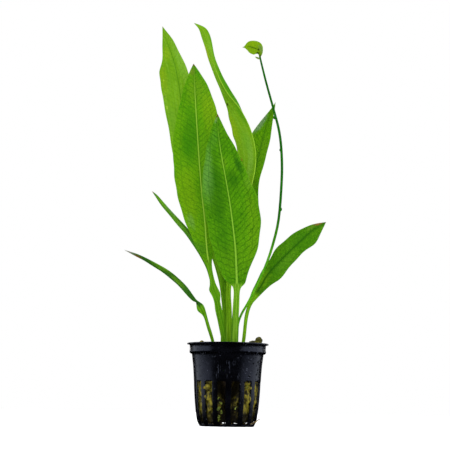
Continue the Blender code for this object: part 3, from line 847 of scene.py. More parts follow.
def leaf(name, stations, finish, stands_for, rib_tip, waves, blade):
    """A leaf with its stalk: a grid laid row by row along its stations, then given its thickness."""
    rows = leaf_rows(stations, rib_tip, waves)
    put_down()
    bpy.ops.mesh.primitive_grid_add(x_subdivisions=2 * SIDE, y_subdivisions=len(rows) - 1, size=2.0)
    piece = bpy.context.object
    mesh = open_up(piece)
    size_layer = mesh.loops.layers.uv.new("size")
    span_layer = mesh.loops.layers.uv.new("span")
    wide = 2 * SIDE + 1
    lines = [mesh.verts[i * wide:(i + 1) * wide] for i in range(len(rows))]
    heights = [line[0].co.y for line in lines]
    for line, y, row in zip(lines, heights, rows):
        lay_row(line, y, row)
    spots = {}
    for line, row in zip(lines, rows):
        for k, point in enumerate(line):
            spots[point.index] = (row, *spot_in_row(row, k))
    for face in mesh.faces:
        for corner in face.loops:
            row, side, reach, width = spots[corner.vert.index]
            corner[size_layer].uv = (side * reach, row.gone)
            corner[span_layer].uv = (side * reach / width, row.share)
    put_down()
    thick = piece.vertex_groups.new(name="thickness")
    most = max(row.rib for row in rows)
    for index, (row, side, reach, width) in spots.items():
        half = half_thickness(row.rib, reach, width, blade)
        thick.add([index], min(max((half - THINNEST) / (most - THINNEST), 0.0), 1.0), "REPLACE")
    add_and_apply(
        piece, "SOLIDIFY", thickness=2 * most * MM, offset=0.0, vertex_group="thickness",
        thickness_vertex_group=THINNEST / most, use_rim=True, use_quality_normals=True,
        edge_crease_outer=1.0, edge_crease_inner=1.0,
    )
    open_up(piece)
    bpy.ops.mesh.select_all(action="SELECT")
    bpy.ops.mesh.remove_doubles(threshold=0.03 * MM)
    add_and_apply(piece, "SUBSURF", levels=2, render_levels=2)
    smooth(piece)
    settle(piece, name)
    hand_in(piece, finish, stands_for)


# ---------------------------------------------------------------- round stalks and roots

def rod(name, stations, sides, steps):
    """A round stalk drawn out ring by ring along stations of x, y, z and radius."""
    rows = stations_to_rows(stations, steps)
    last = len(rows) - 1
    middles = [Vector(row[:3]) * MM for row in rows]
    ways = [(middles[min(i + 1, last)] - middles[max(i - 1, 0)]).normalized() for i in range(last + 1)]
    put_down()
    bpy.ops.mesh.primitive_circle_add(vertices=sides, radius=rows[0][3] * MM, fill_type="NGON")
    piece = bpy.context.object
    bpy.ops.object.mode_set(mode="EDIT")
    bpy.ops.mesh.select_all(action="SELECT")
    swing(Vector((0, 0, 1)).rotation_difference(ways[0]).to_matrix(), (0, 0, 0))
    shift(middles[0])
    for i in range(1, last + 1):
        bpy.ops.mesh.extrude_region_move(TRANSFORM_OT_translate={"value": middles[i] - middles[i - 1]})
        swing(ways[i - 1].rotation_difference(ways[i]).to_matrix(), middles[i])
        ratio = rows[i][3] / rows[i - 1][3]
        stretch((ratio, ratio, ratio), middles[i])
    bpy.ops.mesh.select_all(action="SELECT")
    bpy.ops.mesh.normals_make_consistent(inside=False)
    put_down()
    smooth(piece, 60.0)
    piece.name = name
    return piece


FLOWER_STEM = [
    (6.2, 1.0, 49.4, 0.8),
    (6.3, 0.2, 61.0, 0.8),
    (6.7, -1.6, 68.5, 0.8),
    (9.0, -5.0, 75.0, 0.8),
    (12.8, -9.0, 81.5, 0.8),
    (17.2, -13.0, 90.3, 0.8),
    (24.0, -17.0, 105.5, 0.8),
    (28.5, -19.0, 119.0, 0.89),
    (32.5, -20.0, 137.0, 0.89),
    (34.4, -18.0, 163.5, 0.89),
    (34.4, -15.0, 182.0, 0.89),
    (32.8, -11.0, 199.0, 0.89),
    (28.7, -7.0, 216.5, 0.8),
    (23.6, -5.0, 235.5, 0.75),
    (19.5, -4.0, 252.4, 0.65),
    (19.0, -4.6, 255.6, 0.55),
]


def ball(place, size, level=3, lean=(0.0, 0.0, 0.0)):
    """A round lump, stretched to its half sizes in millimetres and leant over in degrees."""
    put_down()
    bpy.ops.mesh.primitive_ico_sphere_add(subdivisions=level, radius=1.0)
    lump = bpy.context.object
    bpy.ops.object.mode_set(mode="EDIT")
    bpy.ops.mesh.select_all(action="SELECT")
    stretch(Vector(size) * MM, (0, 0, 0))
    lean_over(lean)
    shift(Vector(place) * MM)
    put_down()
    return lump


def roughen(piece, grain, strength):
    """Pushes the skin in and out by a procedural cloud of this grain."""
    texture = bpy.data.textures.new("grain", "CLOUDS")
    texture.noise_scale = grain * MM
    texture.noise_depth = 3
    add_and_apply(
        piece, "DISPLACE", texture=texture, texture_coords="LOCAL", direction="NORMAL",
        strength=strength * MM, mid_level=0.5,
    )


def flower_stem(finish):
    piece = rod("flower_stem", FLOWER_STEM, 12, 4)
    knots = [
        ball((33.7, -14.4, 185.6), (0.9, 0.8, 1.2), 2),
        ball((33.9, -19.6, 144.0), (0.9, 0.8, 1.3), 2),
        ball((29.6, -8.0, 209.6), (0.9, 0.8, 1.3), 2),
    ]
    for knot in knots:
        smooth(knot)
    piece = weld_together([piece] + knots)
    settle(piece, "flower_stem")
    hand_in(piece, finish, "flower_stalk")


# ---------------------------------------------------------------- pot

WALL = 0.8
SOFT_EDGE = 0.13
SLOTS = 15
PITCH = 360.0 / SLOTS  # degrees from one slot to the next
RIB_AT = 1.8  # the bearing of one of the ribs between the slots
RIB_HALF = 4.8  # half a rib's width in degrees
COLUMNS = 150  # faces round the pot, ten to a slot and its rib
SLOT_TOP = 29.5
SLOT_FOOT = 1.1
POT_LINE = [  # radius and height of the outside, from the flange's edge to the foot
    (27.5, 54.2),
    (26.6, 54.1),
    (26.0, 53.9),
    (25.6, 53.3),
    (25.6, 51.4),
    (25.75, 49.4),
    (25.7, 48.8),
    (25.3, 48.2),
    (24.9, 48.0),
    (24.15, 47.9),
    (23.95, 46.5),
    (23.2, 40.5),
    (22.75, 35.0),
    (22.46, 30.4),
    (22.4, SLOT_TOP),
    (22.2, 25.0),
    (21.9, 20.5),
    (21.6, 16.5),
    (21.2, 12.5),
    (20.6, 7.5),
    (20.1, 4.4),
    (19.5, 2.5),
    (18.8, SLOT_FOOT),
    (18.0, 0.25),
    (17.2, 0.0),
    (13.0, 0.0),
    (9.0, 0.0),
]


def bearing_of(place):
    """Degrees round the pot, from the front towards the right."""
    return math.degrees(math.atan2(place.x, -place.y))


def in_slot(place):
    across = (bearing_of(place) - RIB_AT + PITCH / 2) % PITCH - PITCH / 2
    return abs(across) > RIB_HALF and SLOT_FOOT * MM < place.z < SLOT_TOP * MM


def pot(finish):
    """The net pot: a ring drawn down its outline, slots cut out, a wall of some thickness, soft edges."""
    put_down()
    radius, height = POT_LINE[0]
    bpy.ops.mesh.primitive_circle_add(vertices=COLUMNS, radius=radius * MM, fill_type="NOTHING")
    piece = bpy.context.object
    bpy.ops.object.mode_set(mode="EDIT")
    bpy.ops.mesh.select_all(action="SELECT")
    turn("Z", math.radians(RIB_AT), (0, 0, 0))
    shift((0, 0, height * MM))
    for (r0, z0), (r1, z1) in zip(POT_LINE[:-1], POT_LINE[1:]):
        bpy.ops.mesh.extrude_edges_move(TRANSFORM_OT_translate={"value": (0, 0, (z1 - z0) * MM)})
        stretch((r1 / r0, r1 / r0, 1.0), (0, 0, z1 * MM))
    bpy.ops.mesh.extrude_edges_move(TRANSFORM_OT_translate={"value": (0, 0, 0)})
    bpy.ops.mesh.merge(type="CENTER")
    mesh = bmesh.from_edit_mesh(piece.data)
    choose_faces(mesh, in_slot)
    bpy.ops.mesh.delete(type="FACE")
    bpy.ops.mesh.select_all(action="SELECT")
    bpy.ops.mesh.normals_make_consistent(inside=False)
    mesh = bmesh.from_edit_mesh(piece.data)
    foot = min(mesh.faces, key=lambda face: face.calc_center_median().z)
    if foot.normal.z > 0:
        bpy.ops.mesh.flip_normals()
    by_points(mesh)
    put_down()
    add_and_apply(piece, "SOLIDIFY", thickness=WALL * MM, offset=-1.0, use_even_offset=True)
    add_and_apply(
        piece, "BEVEL", width=SOFT_EDGE * MM, segments=2, limit_method="ANGLE", angle_limit=math.radians(50)
    )
    smooth(piece, 38.0)
    settle(piece, "pot_shell")
    hand_in(piece, finish, "net_pot")


# ---------------------------------------------------------------- stone wool and roots

WOOL_LINE = [  # radius and height of the wool's outside
    (17.6, 2.8),
    (18.5, 5.5),
    (19.2, 9.0),
    (19.8, 14.0),
    (20.1, 20.0),
    (20.4, 27.0),
    (20.9, 34.0),
    (21.6, 42.0),
    (22.2, 49.0),
    (21.4, 52.0),
]


# A lump is its place, its half sizes, how finely its ball is divided and its lean. A scrap is its place, its
# width and length, its curl and its lean. Curl and lean are in degrees.
LEFT_LUMPS = [
    ((-12.8, -16.2, 25.8), (2.3, 1.9, 2.2), 3, (0, 14, 0)),
    ((-14.3, -16.4, 25.4), (2.1, 1.4, 1.0), 3, (0, -12, 0)),
    ((-11.8, -17.2, 19.6), (2.4, 2.1, 3.2), 3, (0, 10, 0)),
    ((-13.9, -16.6, 19.3), (1.9, 1.4, 1.1), 3, (0, 16, 0)),
    ((-10.9, -17.5, 13.2), (1.9, 2.0, 4.6), 3, (0, 8, 0)),
    ((-17.8, -6.0, 54.8), (2.2, 2.6, 2.2)),
    ((-17.0, -6.0, 51.5), (4.0, 4.0, 2.6)),
]
RIGHT_LUMPS = [
    ((12.8, -16.2, 20.0), (2.4, 2.0, 5.0), 3, (0, -6, 0)),
    ((13.3, -16.4, 25.3), (2.9, 1.7, 0.9), 3, (0, 6, 0)),
    ((12.3, -16.0, 28.4), (2.2, 1.5, 1.4)),
    ((18.0, -10.0, 25.6), (1.6, 2.0, 3.2)),
    ((17.9, -10.0, 17.4), (1.6, 2.0, 3.2)),
    ((6.2, -18.4, 17.5), (1.3, 1.5, 6.0), 3, (0, 24, 0)),
]
TUFT_LUMPS = [
    ((20.7, -4.2, 57.2), (2.35, 2.3, 2.4)),
    ((20.6, -4.2, 59.0), (1.1, 1.2, 0.8)),
    ((18.6, -4.6, 55.5), (4.6, 2.6, 1.5), 3, (0, 5, 0)),
]
SCRAPS = [
    ((-5.8, -19.7, 18.8), (0.8, 2.6), 150, (75, 20, 20)),
    ((-4.0, -19.9, 15.8), (1.0, 3.0), 120, (85, -30, -35)),
    ((-5.2, -19.8, 12.4), (1.7, 4.8), 160, (70, 30, 12)),
    ((-3.9, -19.7, 10.4), (1.4, 4.2), 110, (95, -15, 8)),
    ((-4.8, -19.3, 7.2), (1.6, 3.8), 140, (80, 30, -14)),
    ((-5.6, -18.9, 4.8), (1.2, 2.8), 120, (90, -10, 50)),
    ((5.4, -19.8, 12.6), (0.9, 3.0), 130, (75, 15, 30)),
    ((12.6, -18.6, 26.6), (1.6, 3.6), 110, (80, 0, 80)),
]
HALF_ROUND = 178.0  # degrees that one half of the wrap is swept


def wool_radius(height):
    """How far the wool's outside stands from the pot's axis at this height."""
    place = 0
    while place < len(WOOL_LINE) - 2 and WOOL_LINE[place + 1][1] < height:
        place += 1
    (r0, z0), (r1, z1) = WOOL_LINE[place], WOOL_LINE[place + 1]
    t = min(max((height - z0) / (z1 - z0), 0.0), 1.0)
    return r0 + (r1 - r0) * t


def wool_opening(height):
    """Half the open wedge at the front at this height, in degrees: narrow at the foot and wide above."""
    narrow, widening = 2.5, 26.0
    share = min(max((height - 9.0) / 20.0, 0.0), 1.0)
    return narrow + widening * share


def wool(name, side, lump_list, finish, stands_for):
    """Half of the wool wrap: a wall swept half round, opened at the front, then broken up into lumps."""
    lumps = [ball(*lump) for lump in lump_list]
    put_down()
    low, high = WOOL_LINE[0][1], WOOL_LINE[-1][1]
    inner, outer, turns = 8.9, 20.0, 60
    bpy.ops.mesh.primitive_grid_add(x_subdivisions=5, y_subdivisions=36, size=1.0)
    piece = bpy.context.object
    bpy.ops.object.mode_set(mode="EDIT")
    bpy.ops.mesh.select_all(action="SELECT")
    turn("X", math.radians(90), (0, 0, 0))
    stretch(((outer - inner) * MM, 1.0, (high - low) * MM), (0, 0, 0))
    shift((0.5 * (outer + inner) * MM, 0, 0.5 * (low + high) * MM))
    turn("Z", math.radians(-90), (0, 0, 0))
    bpy.ops.mesh.spin(steps=turns, angle=-side * math.radians(HALF_ROUND), center=(0, 0, 0), axis=(0, 0, 1))
    mesh = bmesh.from_edit_mesh(piece.data)
    bpy.ops.mesh.select_all(action="DESELECT")
    columns = {}
    for point in mesh.verts:
        step = round(abs(bearing_of(point.co)) / HALF_ROUND * turns)
        columns.setdefault((round(point.co.z / MM, 2), step), []).append(point)
    for (height, step), points in columns.items():
        drawn_in = 0.22 * max(0.0, 1.0 - step / 5.0)
        scale = wool_radius(height) / outer * (1.0 - drawn_in)
        choose(points)
        turn("Z", side * math.radians(wool_opening(height) * (1 - step / turns)), (0, 0, 0))
        stretch((scale, scale, 1.0), (0, 0, height * MM))
        let_go(points)
    bpy.ops.mesh.select_all(action="SELECT")
    bpy.ops.mesh.normals_make_consistent(inside=False)
    put_down()
    piece = weld_together([piece] + lumps)
    add_and_apply(piece, "REMESH", mode="VOXEL", voxel_size=0.42 * MM, use_smooth_shade=True)
    roughen(piece, 5.5, 2.2)
    roughen(piece, 1.7, 1.1)
    smooth(piece)
    settle(piece, name)
    hand_in(piece, finish, stands_for)


def scrap(place, size, curl, lean):
    """A small curled flake: a strip rolled up row by row, then leant over and put in its place."""
    rows, columns = 6, 3
    put_down()
    bpy.ops.mesh.primitive_grid_add(x_subdivisions=columns, y_subdivisions=rows, size=1.0)
    flake = bpy.context.object
    mesh = open_up(flake)
    bpy.ops.mesh.select_all(action="SELECT")
    stretch((size[0] * MM, size[1] * MM, 1.0), (0, 0, 0))
    bpy.ops.mesh.select_all(action="DESELECT")
    wide = columns + 1
    for row in range(1, rows + 1):
        points = mesh.verts[row * wide:]
        choose(points)
        turn("X", math.radians(curl / rows), mesh.verts[row * wide].co.copy())
        if row > rows / 2:
            stretch((0.84, 1.0, 1.0), mesh.verts[row * wide + 1].co.copy())
        let_go(points)
    bpy.ops.mesh.select_all(action="SELECT")
    lean_over(lean)
    shift(Vector(place) * MM)
    put_down()
    add_and_apply(flake, "SOLIDIFY", thickness=0.25 * MM, offset=0.0)
    add_and_apply(flake, "SUBSURF", levels=1, render_levels=1)
    return flake


def fine_roots(count):
    """Thin roots that run out from the root mass over the pot's floor."""
    chance = random.Random(7)
    roots = []
    for number in range(count):
        bearing = math.radians(360.0 / count * number + chance.uniform(-9, 9))
        sideways = math.radians(chance.uniform(-16, 16))
        start = chance.uniform(6.0, 11.0)
        rise = chance.uniform(1.5, 2.3)
        far = chance.uniform(15.5, 17.0)
        stations = []
        stops = ((6.0, start), (8.5, 0.4 * start), (12.0, rise), (far, rise + 0.2))
        for share, (radius, height) in enumerate(stops):
            angle = bearing + sideways * share / 3
            thick = 0.42 - 0.08 * share
            stations.append((radius * math.sin(angle), -radius * math.cos(angle), height, thick))
        roots.append(rod("fine_root", stations, 6, 3))
    return roots


def green_scraps(finish):
    scraps = weld_together([scrap(*flake) for flake in SCRAPS])
    smooth(scraps)
    settle(scraps, "green_scraps")
    hand_in(scraps, finish)


def tuft(finish):
    """The dark tuft of wool above the rim on the right."""
    piece = weld_together([ball(*lump) for lump in TUFT_LUMPS])
    add_and_apply(piece, "REMESH", mode="VOXEL", voxel_size=0.25 * MM, use_smooth_shade=True)
    roughen(piece, 1.6, 1.0)
    roughen(piece, 0.5, 0.35)
    smooth(piece)
    settle(piece, "wool_lump_right")
    hand_in(piece, finish, "wool_tuft_right")


def root_mass(finish):
    """The crown and the ball of roots inside the wool, with the fine roots that leave it."""
    crown = weld_together([
        ball((0, 0, 27.0), (7.2, 7.2, 20.0)),
        ball((0, 0, 45.0), (6.4, 6.4, 3.6)),
    ])
    add_and_apply(crown, "REMESH", mode="VOXEL", voxel_size=0.6 * MM, use_smooth_shade=True)
    roughen(crown, 3.0, 1.4)
    smooth(crown)
    crown = weld_together([crown] + fine_roots(22))
    settle(crown, "root_mass")
    hand_in(crown, finish, "rootstock")


def loose_root(finish):
    """The one root that has grown out of a slot low on the right."""
    piece = rod("loose_root", [
        (8.8, -4.7, 1.8, 0.4),
        (14.5, -7.8, 1.8, 0.4),
        (17.3, -9.3, 2.5, 0.4),
        (19.6, -10.5, 3.8, 0.35),
        (21.9, -11.6, 5.6, 0.3),
    ], 8, 4)
    settle(piece, "loose_root")
    hand_in(piece, finish, "root_low_right")


# ---------------------------------------------------------------- stage

def lamp(name, place, aim, width, height, glow, tint=(1.0, 1.0, 1.0)):
    """A soft box: a rectangle that gives off an even light of this strength towards its aim."""
    put_down()
    bpy.ops.object.light_add(type="AREA", location=place)
    light = bpy.context.object
    light.name = name
    light.data.shape = "RECTANGLE"
    light.data.size = width
    light.data.size_y = height
    light.data.energy = glow * math.pi * width * height
    light.data.color = tint
    light.rotation_euler = (Vector(aim) - Vector(place)).to_track_quat("-Z", "Y").to_euler()
    light.visible_camera = False


def stage():
    scene = bpy.context.scene
    put_down()
    bpy.ops.mesh.primitive_circle_add(vertices=96, radius=0.75, fill_type="NGON")
    floor = bpy.context.object
    floor.name = "floor"
    floor.visible_glossy = False
    made, tree, shader = new_finish("pale floor")
    place = node(tree, "TexCoord").outputs["Object"]
    grain = fade(tree, cloud(tree, place, 9.0, 2.0), 0.3, 0.7)
    pale = mixed(tree, grain, (0.93, 0.93, 0.93, 1.0), (0.96, 0.96, 0.96, 1.0))
    feed(tree, shader.inputs["Base Color"], pale)
    shader.inputs["Roughness"].default_value = 0.9
    shader.inputs["Specular IOR Level"].default_value = 0.0
    floor.data.materials.append(made)
    lamp("left_softbox", (-1.05, 0.05, 0.47), (0, 0.05, 0.27), 1.8, 1.2, 1.3, (0.86, 0.92, 1.0))
    lamp("right_softbox", (1.05, -0.1, 0.47), (0, -0.1, 0.27), 2.0, 1.2, 1.3, (0.86, 0.92, 1.0))
    lamp("top_softbox", (0, -0.75, 1.5), (0, 0, 0.12), 1.5, 1.0, 3.0)
    lamp("back_softbox", (0, 1.3, 0.75), (0, 0, 0.12), 1.8, 1.4, 1.3)
    world = bpy.data.worlds.new("studio")
    world.use_nodes = True
    scene.world = world
    tree = world.node_tree
    backdrop = tree.nodes["Background"]
    backdrop.inputs["Color"].default_value = (1.0, 1.0, 1.0, 1.0)
    backdrop.inputs["Strength"].default_value = 1.0
    mirrored = node(tree, "Background")
    mirrored.inputs["Strength"].default_value = 0.0
    glossy = node(tree, "LightPath").outputs["Is Glossy Ray"]
    both = node(tree, "MixShader", (glossy, backdrop.outputs[0], mirrored.outputs[0]))
    tree.links.new(both.outputs[0], tree.nodes["World Output"].inputs["Surface"])
    world.cycles.sampling_method = "NONE"
    scene.view_settings.view_transform = "Standard"
    scene.view_settings.look = "None"
    scene.view_settings.exposure = 0.0
    scene.view_settings.gamma = 1.0


def camera():
    """At the pot's height, looking up a little at the leaves, and rolled by less than a degree."""
    pitch = math.radians(8.37)
    roll = math.radians(0.9)
    forward = Vector((0, math.cos(pitch), math.sin(pitch)))
    right = Vector((1, 0, 0))
    up = right.cross(forward)
    level = math.cos(roll) * right + math.sin(roll) * up
    upright = -math.sin(roll) * right + math.cos(roll) * up
    put_down()
    bpy.ops.object.camera_add()
    seen_from = bpy.context.object
    seen_from.name = "camera"
    seen_from.data.sensor_width = 36.0
    seen_from.data.lens = 94.6
    seen_from.data.clip_start = 0.01
    axes = Matrix((level, upright, -forward)).transposed().to_4x4()
    axes.translation = Vector((-3.2, -800.0, 18.0)) * MM
    seen_from.matrix_world = axes
    bpy.context.scene.camera = seen_from


# ---------------------------------------------------------------- the plant

# Colours are mixed as on a screen, from 0 to 255. A mark is its place across the leaf, from -1 at the left
# edge to 1 at the right, and along it, from 0 at the foot to 1 at the tip, then its reach across and along,
# its colour and its strength. A glossy place has no colour.
# Some of the leaves' marks are painted sheen or painted shade, not the leaf's own colour; each says so above
# it.
LOOKS = {
    "front leaf": dict(
        dark=(56, 124, 2), light=(90, 154, 8), vein=(24, 80, 2), rib=(138, 188, 54), vein_strength=0.62,
        fleck=0.65, stem=(88, 147, 14), stem_light=(138, 186, 52), rib_foot=1.9, rib_tip=0.3,
        rib_strength=0.9, tip=(95, 70, 30), tip_from=0.975, edge=(104, 160, 26), edge_strength=0.3,
        marks=[
            (-0.45, 0.72, 0.4, 0.14, (40, 104, 4), 0.6),
            (-0.45, 0.56, 0.3, 0.12, (56, 120, 6), 0.45),
            # painted shade: the darker zone where the inner leaf behind shows through this leaf's right side
            (0.75, 0.79, 0.2, 0.04, (26, 92, 10), 0.65),
            (0.3, 0.75, 0.3, 0.04, (44, 104, 6), 0.5),
            (0.75, 0.57, 0.3, 0.16, (108, 158, 12), 0.7),
            (0.9, 0.725, 0.2, 0.025, (112, 162, 34), 0.5),
            (0.0, 0.46, 0.95, 0.07, (92, 144, 10), 0.45),
            (0.05, 0.81, 0.2, 0.025, (112, 156, 24), 0.4),
            # painted sheen: a pale grey-green highlight along the left margin
            (-0.8, 0.78, 0.35, 0.12, (100, 158, 58), 0.5),
            (-0.8, 0.79, 0.2, 0.08, (110, 166, 74), 0.35),
            (0.5, 0.53, 0.5, 0.13, (104, 164, 10), 0.35),
            # painted sheen: a greyish highlight streak near the tip
            (-0.55, 0.97, 0.5, 0.02, (146, 178, 110), 0.5),
            (-0.45, 0.9, 0.4, 0.05, (84, 146, 40), 0.4),
        ],
        glossy=[(-0.8, 0.78, 0.3, 0.12, 0.15)],
    ),
    "left leaf": dict(
        dark=(72, 142, 3), light=(104, 162, 8), vein=(38, 96, 3), rib=(150, 192, 60), vein_strength=0.52,
        fleck=0.65, stem=(70, 132, 8), stem_light=(108, 164, 22), rib_foot=1.8, rib_tip=0.3,
        rib_strength=1.0, tip=(105, 80, 40), tip_from=0.98, edge=(104, 158, 20), edge_strength=0.3,
        blade_from=0.46,
        marks=[
            (0.7, 0.84, 0.5, 0.06, (124, 166, 12), 0.75),
            (0.6, 0.8, 0.3, 0.04, (112, 166, 14), 0.4),
            (0.05, 0.9, 0.85, 0.05, (112, 156, 18), 0.6),
            (-0.35, 0.96, 0.75, 0.02, (122, 140, 34), 0.65),
            (-0.3, 0.79, 0.45, 0.07, (54, 128, 4), 0.65),
            (-0.6, 0.67, 0.5, 0.08, (120, 166, 10), 0.7),
            (0.2, 0.76, 0.35, 0.05, (98, 156, 14), 0.5),
            (-0.7, 0.605, 0.2, 0.025, (118, 166, 72), 0.5),
            (-0.8, 0.535, 1.0, 0.025, (78, 136, 26), 0.5),
            (-0.15, 0.485, 0.5, 0.01, (92, 76, 22), 0.85),
        ],
    ),
    "tall leaf": dict(
        dark=(98, 150, 14), light=(116, 163, 26), vein=(66, 122, 10), rib=(68, 122, 14), vein_strength=0.34,
        net=0.2, rib_tip=0.22, rib_foot=1.2, rib_strength=0.9, flank=0.1, stem=(90, 144, 12),
        stem_light=(108, 158, 28), edge=(134, 168, 34), edge_strength=0.3, shine=0.02, through=0.25,
        tip=(120, 120, 50), tip_from=0.985, streak=0.35, streak_green=(134, 180, 58),
        marks=[
            (-0.8, 0.71, 0.25, 0.08, (134, 166, 20), 0.6),
            (-0.5, 0.84, 0.5, 0.05, (134, 168, 24), 0.6),
            (-0.7, 0.58, 0.3, 0.04, (118, 168, 44), 0.4),
            (-0.9, 0.64, 0.05, 0.005, (96, 108, 44), 0.8),
            (-0.8, 0.695, 0.05, 0.005, (168, 196, 60), 0.7),
            (-0.85, 0.61, 0.05, 0.005, (168, 200, 64), 0.7),
            (0.7, 0.78, 0.55, 0.14, (132, 178, 62), 0.45),
        ],
    ),
    "folded leaf": dict(
        dark=(98, 150, 12), light=(116, 163, 24), vein=(62, 118, 8), rib=(150, 190, 50), vein_strength=0.2,
        net=0.16, rib_tip=0.28, rib_foot=1.3, rib_strength=0.8, rib_end=0.8, flank=0.1, stem=(102, 154, 12),
        stem_light=(134, 180, 34), edge=(142, 176, 30), edge_strength=0.35, shine=0.02, through=0.25,
        tip=(110, 110, 45), streak=0.35, streak_green=(136, 182, 58),
        marks=[
            # painted shade: the right half, turned away, darker along its fringe
            (0.95, 0.66, 1.35, 0.14, (64, 132, 6), 0.9),
            (-1.0, 0.8, 0.7, 0.04, (144, 160, 16), 0.8),
            # painted highlight: a faint grey-green sheen beside the midrib fold
            (0.3, 0.82, 0.4, 0.05, (124, 170, 50), 0.3),
            (1.0, 0.83, 0.5, 0.07, (76, 140, 14), 0.55),
            (-0.9, 0.55, 0.3, 0.06, (132, 168, 20), 0.75),
            (-0.1, 0.58, 0.25, 0.04, (74, 140, 12), 0.6),
            (-0.3, 0.45, 0.2, 0.09, (128, 176, 64), 0.5),
            (-0.4, 0.5, 0.25, 0.04, (104, 162, 34), 0.5),
            (-0.8, 0.625, 0.15, 0.005, (44, 48, 10), 0.95),
            (-0.7, 0.93, 1.25, 0.05, (122, 166, 24), 0.5),
        ],
    ),
    "right leaf": dict(
        dark=(90, 152, 4), light=(114, 168, 12), vein=(50, 110, 4), rib=(66, 118, 14), vein_strength=0.5,
        rib_tip=0.25, rib_foot=1.2, stem=(60, 112, 8), tip=(110, 140, 60), tip_from=0.99,
        marks=[
            # painted sheen: pale grey-green highlight along the upper-left margin, where the blade curls
            (-0.9, 0.79, 0.6, 0.06, (128, 158, 112), 0.95),
            (-0.95, 0.75, 0.35, 0.03, (130, 160, 114), 0.8),
            (0.4, 0.67, 0.9, 0.07, (96, 148, 18), 0.5),
            (0.65, 0.53, 0.55, 0.06, (64, 128, 8), 0.6),
        ],
    ),
    "inner leaf": dict(
        dark=(56, 120, 4), light=(80, 142, 10), vein=(34, 90, 4), rib=(104, 156, 40), vein_strength=0.45,
        rib_tip=0.25, rib_foot=1.1, tip=(150, 110, 40), tip_from=0.96, stem=(84, 146, 14),
    ),
    "narrow leaf": dict(
        dark=(60, 118, 14), light=(88, 144, 26), vein=(48, 100, 10), rib=(110, 162, 36), vein_strength=0.2,
        fleck=0.25, net=0.1, rib_tip=0.2, rib_foot=1.0, bump=0.25, tip=(140, 100, 62), tip_from=0.95,
        stem=(66, 132, 10),
        marks=[
            (0.55, 0.82, 1.15, 0.07, (110, 172, 30), 0.8),
            (1.0, 0.72, 0.95, 0.05, (106, 168, 26), 0.7),
            # painted sheen: a grey-green highlight along the upper edge
            (1.0, 0.76, 0.9, 0.07, (116, 156, 96), 0.8),
            (-0.95, 0.58, 1.25, 0.06, (58, 118, 14), 0.6),
        ],
    ),
    "drooping leaf": dict(
        dark=(34, 88, 16), light=(54, 110, 24), vein=(24, 72, 10), rib=(46, 100, 18), vein_strength=0.2,
        fleck=0.25, net=0.1, rib_tip=0.2, rib_foot=1.0, bump=0.25, tip=(130, 130, 118), tip_from=0.93,
        stem=(74, 138, 8), stem_light=(116, 172, 22), blade_from=0.36, edge=(104, 160, 14),
        edge_strength=0.55,
        marks=[
            (-0.4, 0.89, 0.8, 0.04, (128, 62, 34), 0.9),
            (-0.1, 0.95, 2.0, 0.05, (150, 152, 138), 0.8),
            (0.6, 0.76, 1.4, 0.07, (116, 172, 14), 0.7),
            (-0.05, 0.65, 0.7, 0.06, (112, 168, 14), 0.7),
            (-0.4, 0.45, 0.8, 0.02, (14, 20, 8), 0.95),
            (-0.8, 0.4, 0.5, 0.04, (100, 158, 22), 0.8),
            (0.0, 0.33, 0.65, 0.07, (30, 84, 12), 0.8),
        ],
    ),
    "low leaf": dict(
        dark=(66, 128, 4), light=(88, 146, 12), vein=(34, 90, 4), rib=(38, 94, 5), vein_strength=0.45,
        rib_tip=0.3, rib_foot=1.1, flank=0.45, rib_strength=0.9, tip=(110, 90, 40), stem=(100, 160, 12),
        stem_light=(130, 180, 30), blade_from=0.34, edge=(84, 142, 24), edge_strength=0.4,
        marks=[
            (-0.8, 0.95, 0.6, 0.04, (150, 98, 56), 0.9),
            (-0.55, 0.89, 0.35, 0.04, (118, 150, 44), 0.5),
            (-0.1, 0.45, 0.65, 0.09, (122, 172, 16), 0.7),
            (-0.25, 0.79, 0.4, 0.1, (70, 130, 12), 0.4),
            (0.4, 0.64, 0.5, 0.11, (92, 146, 30), 0.4),
        ],
    ),
    "young leaf": dict(
        dark=(116, 154, 8), light=(128, 165, 14), vein=(96, 136, 10), rib=(54, 88, 12), vein_strength=0.12,
        fleck=0.1, net=0.03, bump=0.08, rib_tip=0.1, rib_foot=0.3, rib_strength=0.45, flank=0.1, spacing=1.6,
        line=0.12, blade_from=0.05, stem=(70, 100, 14), tip=(100, 124, 40), tip_from=0.9, through=0.4,
        marks=[
            (0.1, 0.26, 0.2, 0.04, (14, 30, 6), 0.9),
            (-0.6, 0.18, 0.4, 0.07, (16, 34, 8), 0.9),
            (0.55, 0.2, 0.35, 0.14, (112, 140, 78), 0.7),
            (0.0, 0.4, 0.1, 0.16, (48, 84, 10), 0.75),
            (0.05, 0.54, 0.1, 0.11, (60, 100, 12), 0.6),
            (0.65, 0.49, 0.6, 0.1, (136, 170, 16), 0.5),
        ],
    ),
    "bract": dict(
        dark=(120, 150, 60), light=(150, 172, 96), vein=(110, 130, 60), rib=(110, 134, 60), fleck=0.1,
        vein_strength=0.1, rib_tip=0.1, rib_foot=0.2, blade_from=0.0, tip=(120, 130, 80),
    ),
}


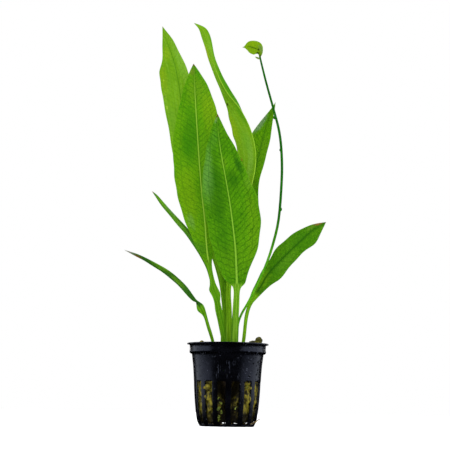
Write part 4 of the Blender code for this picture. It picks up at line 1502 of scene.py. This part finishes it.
LEAVES = [  # piece, look, stations, node, rib at the tip, ripple in degrees with its length and start, blade
    ("front_leaf", "front leaf", FRONT_LEAF, "leaf_broad_front", 0.55, (3.0, 34.0, 0.4), BLADE),
    ("left_leaf", "left leaf", LEFT_LEAF, "leaf_broad_left", 0.5, (3.0, 38.0, 1.0), BLADE),
    ("tall_leaf", "tall leaf", TALL_LEAF, "leaf_tall_back", 0.35, (4.0, 30.0, 2.0), BLADE),
    ("folded_leaf", "folded leaf", FOLDED_LEAF, "leaf_twisted_tall", 0.5, (2.0, 30.0, 0.0), BLADE),
    ("right_leaf", "right leaf", RIGHT_LEAF, "leaf_right_back", 0.35, (3.0, 30.0, 0.5), BLADE),
    ("inner_leaf", "inner leaf", INNER_LEAF, "leaf_hidden_middle", 0.4, (3.0, 30.0, 0.0), BLADE),
    ("narrow_leaf", "narrow leaf", NARROW_LEAF, "leaf_narrow_left", 0.35, (3.0, 22.0, 0.0), BLADE),
    ("drooping_leaf", "drooping leaf", DROOPING_LEAF, "leaf_drooping_left", 0.3, (3.0, 20.0, 0.0), BLADE),
    ("low_leaf", "low leaf", LOW_LEAF, "leaf_low_right", 0.35, (3.0, 26.0, 1.0), BLADE),
    ("young_leaf", "young leaf", YOUNG_LEAF, "plantlet_leaf", 0.15, (2.0, 10.0, 0.0), 0.12),
    ("bract_scale", "bract", BRACT, "stalk_bract", 0.1, (0.0, 10.0, 0.0), 0.1),
]


def plant():
    for name, look, stations, stands_for, rib_tip, waves, blade in LEAVES:
        leaf(name, stations, leaf_finish(look, LOOKS[look]), stands_for, rib_tip, waves, blade)
    flower_stem(stem_finish())
    pot(pot_finish())
    wool_green = wool_finish("olive wool", (118, 108, 26), (20, 18, 4), (18, 14, 4))
    wool("wool_wrap_left", -1, LEFT_LUMPS, wool_green, "wool_left")
    wool("wool_wrap_right", 1, RIGHT_LUMPS, wool_green, "wool_right")
    green_scraps(scrap_finish())
    tuft(wool_finish("dark moss", (74, 72, 14), (10, 13, 3), (20, 16, 5)))
    root_brown = root_finish()
    root_mass(root_brown)
    loose_root(root_brown)


plant()
stage()
camera()
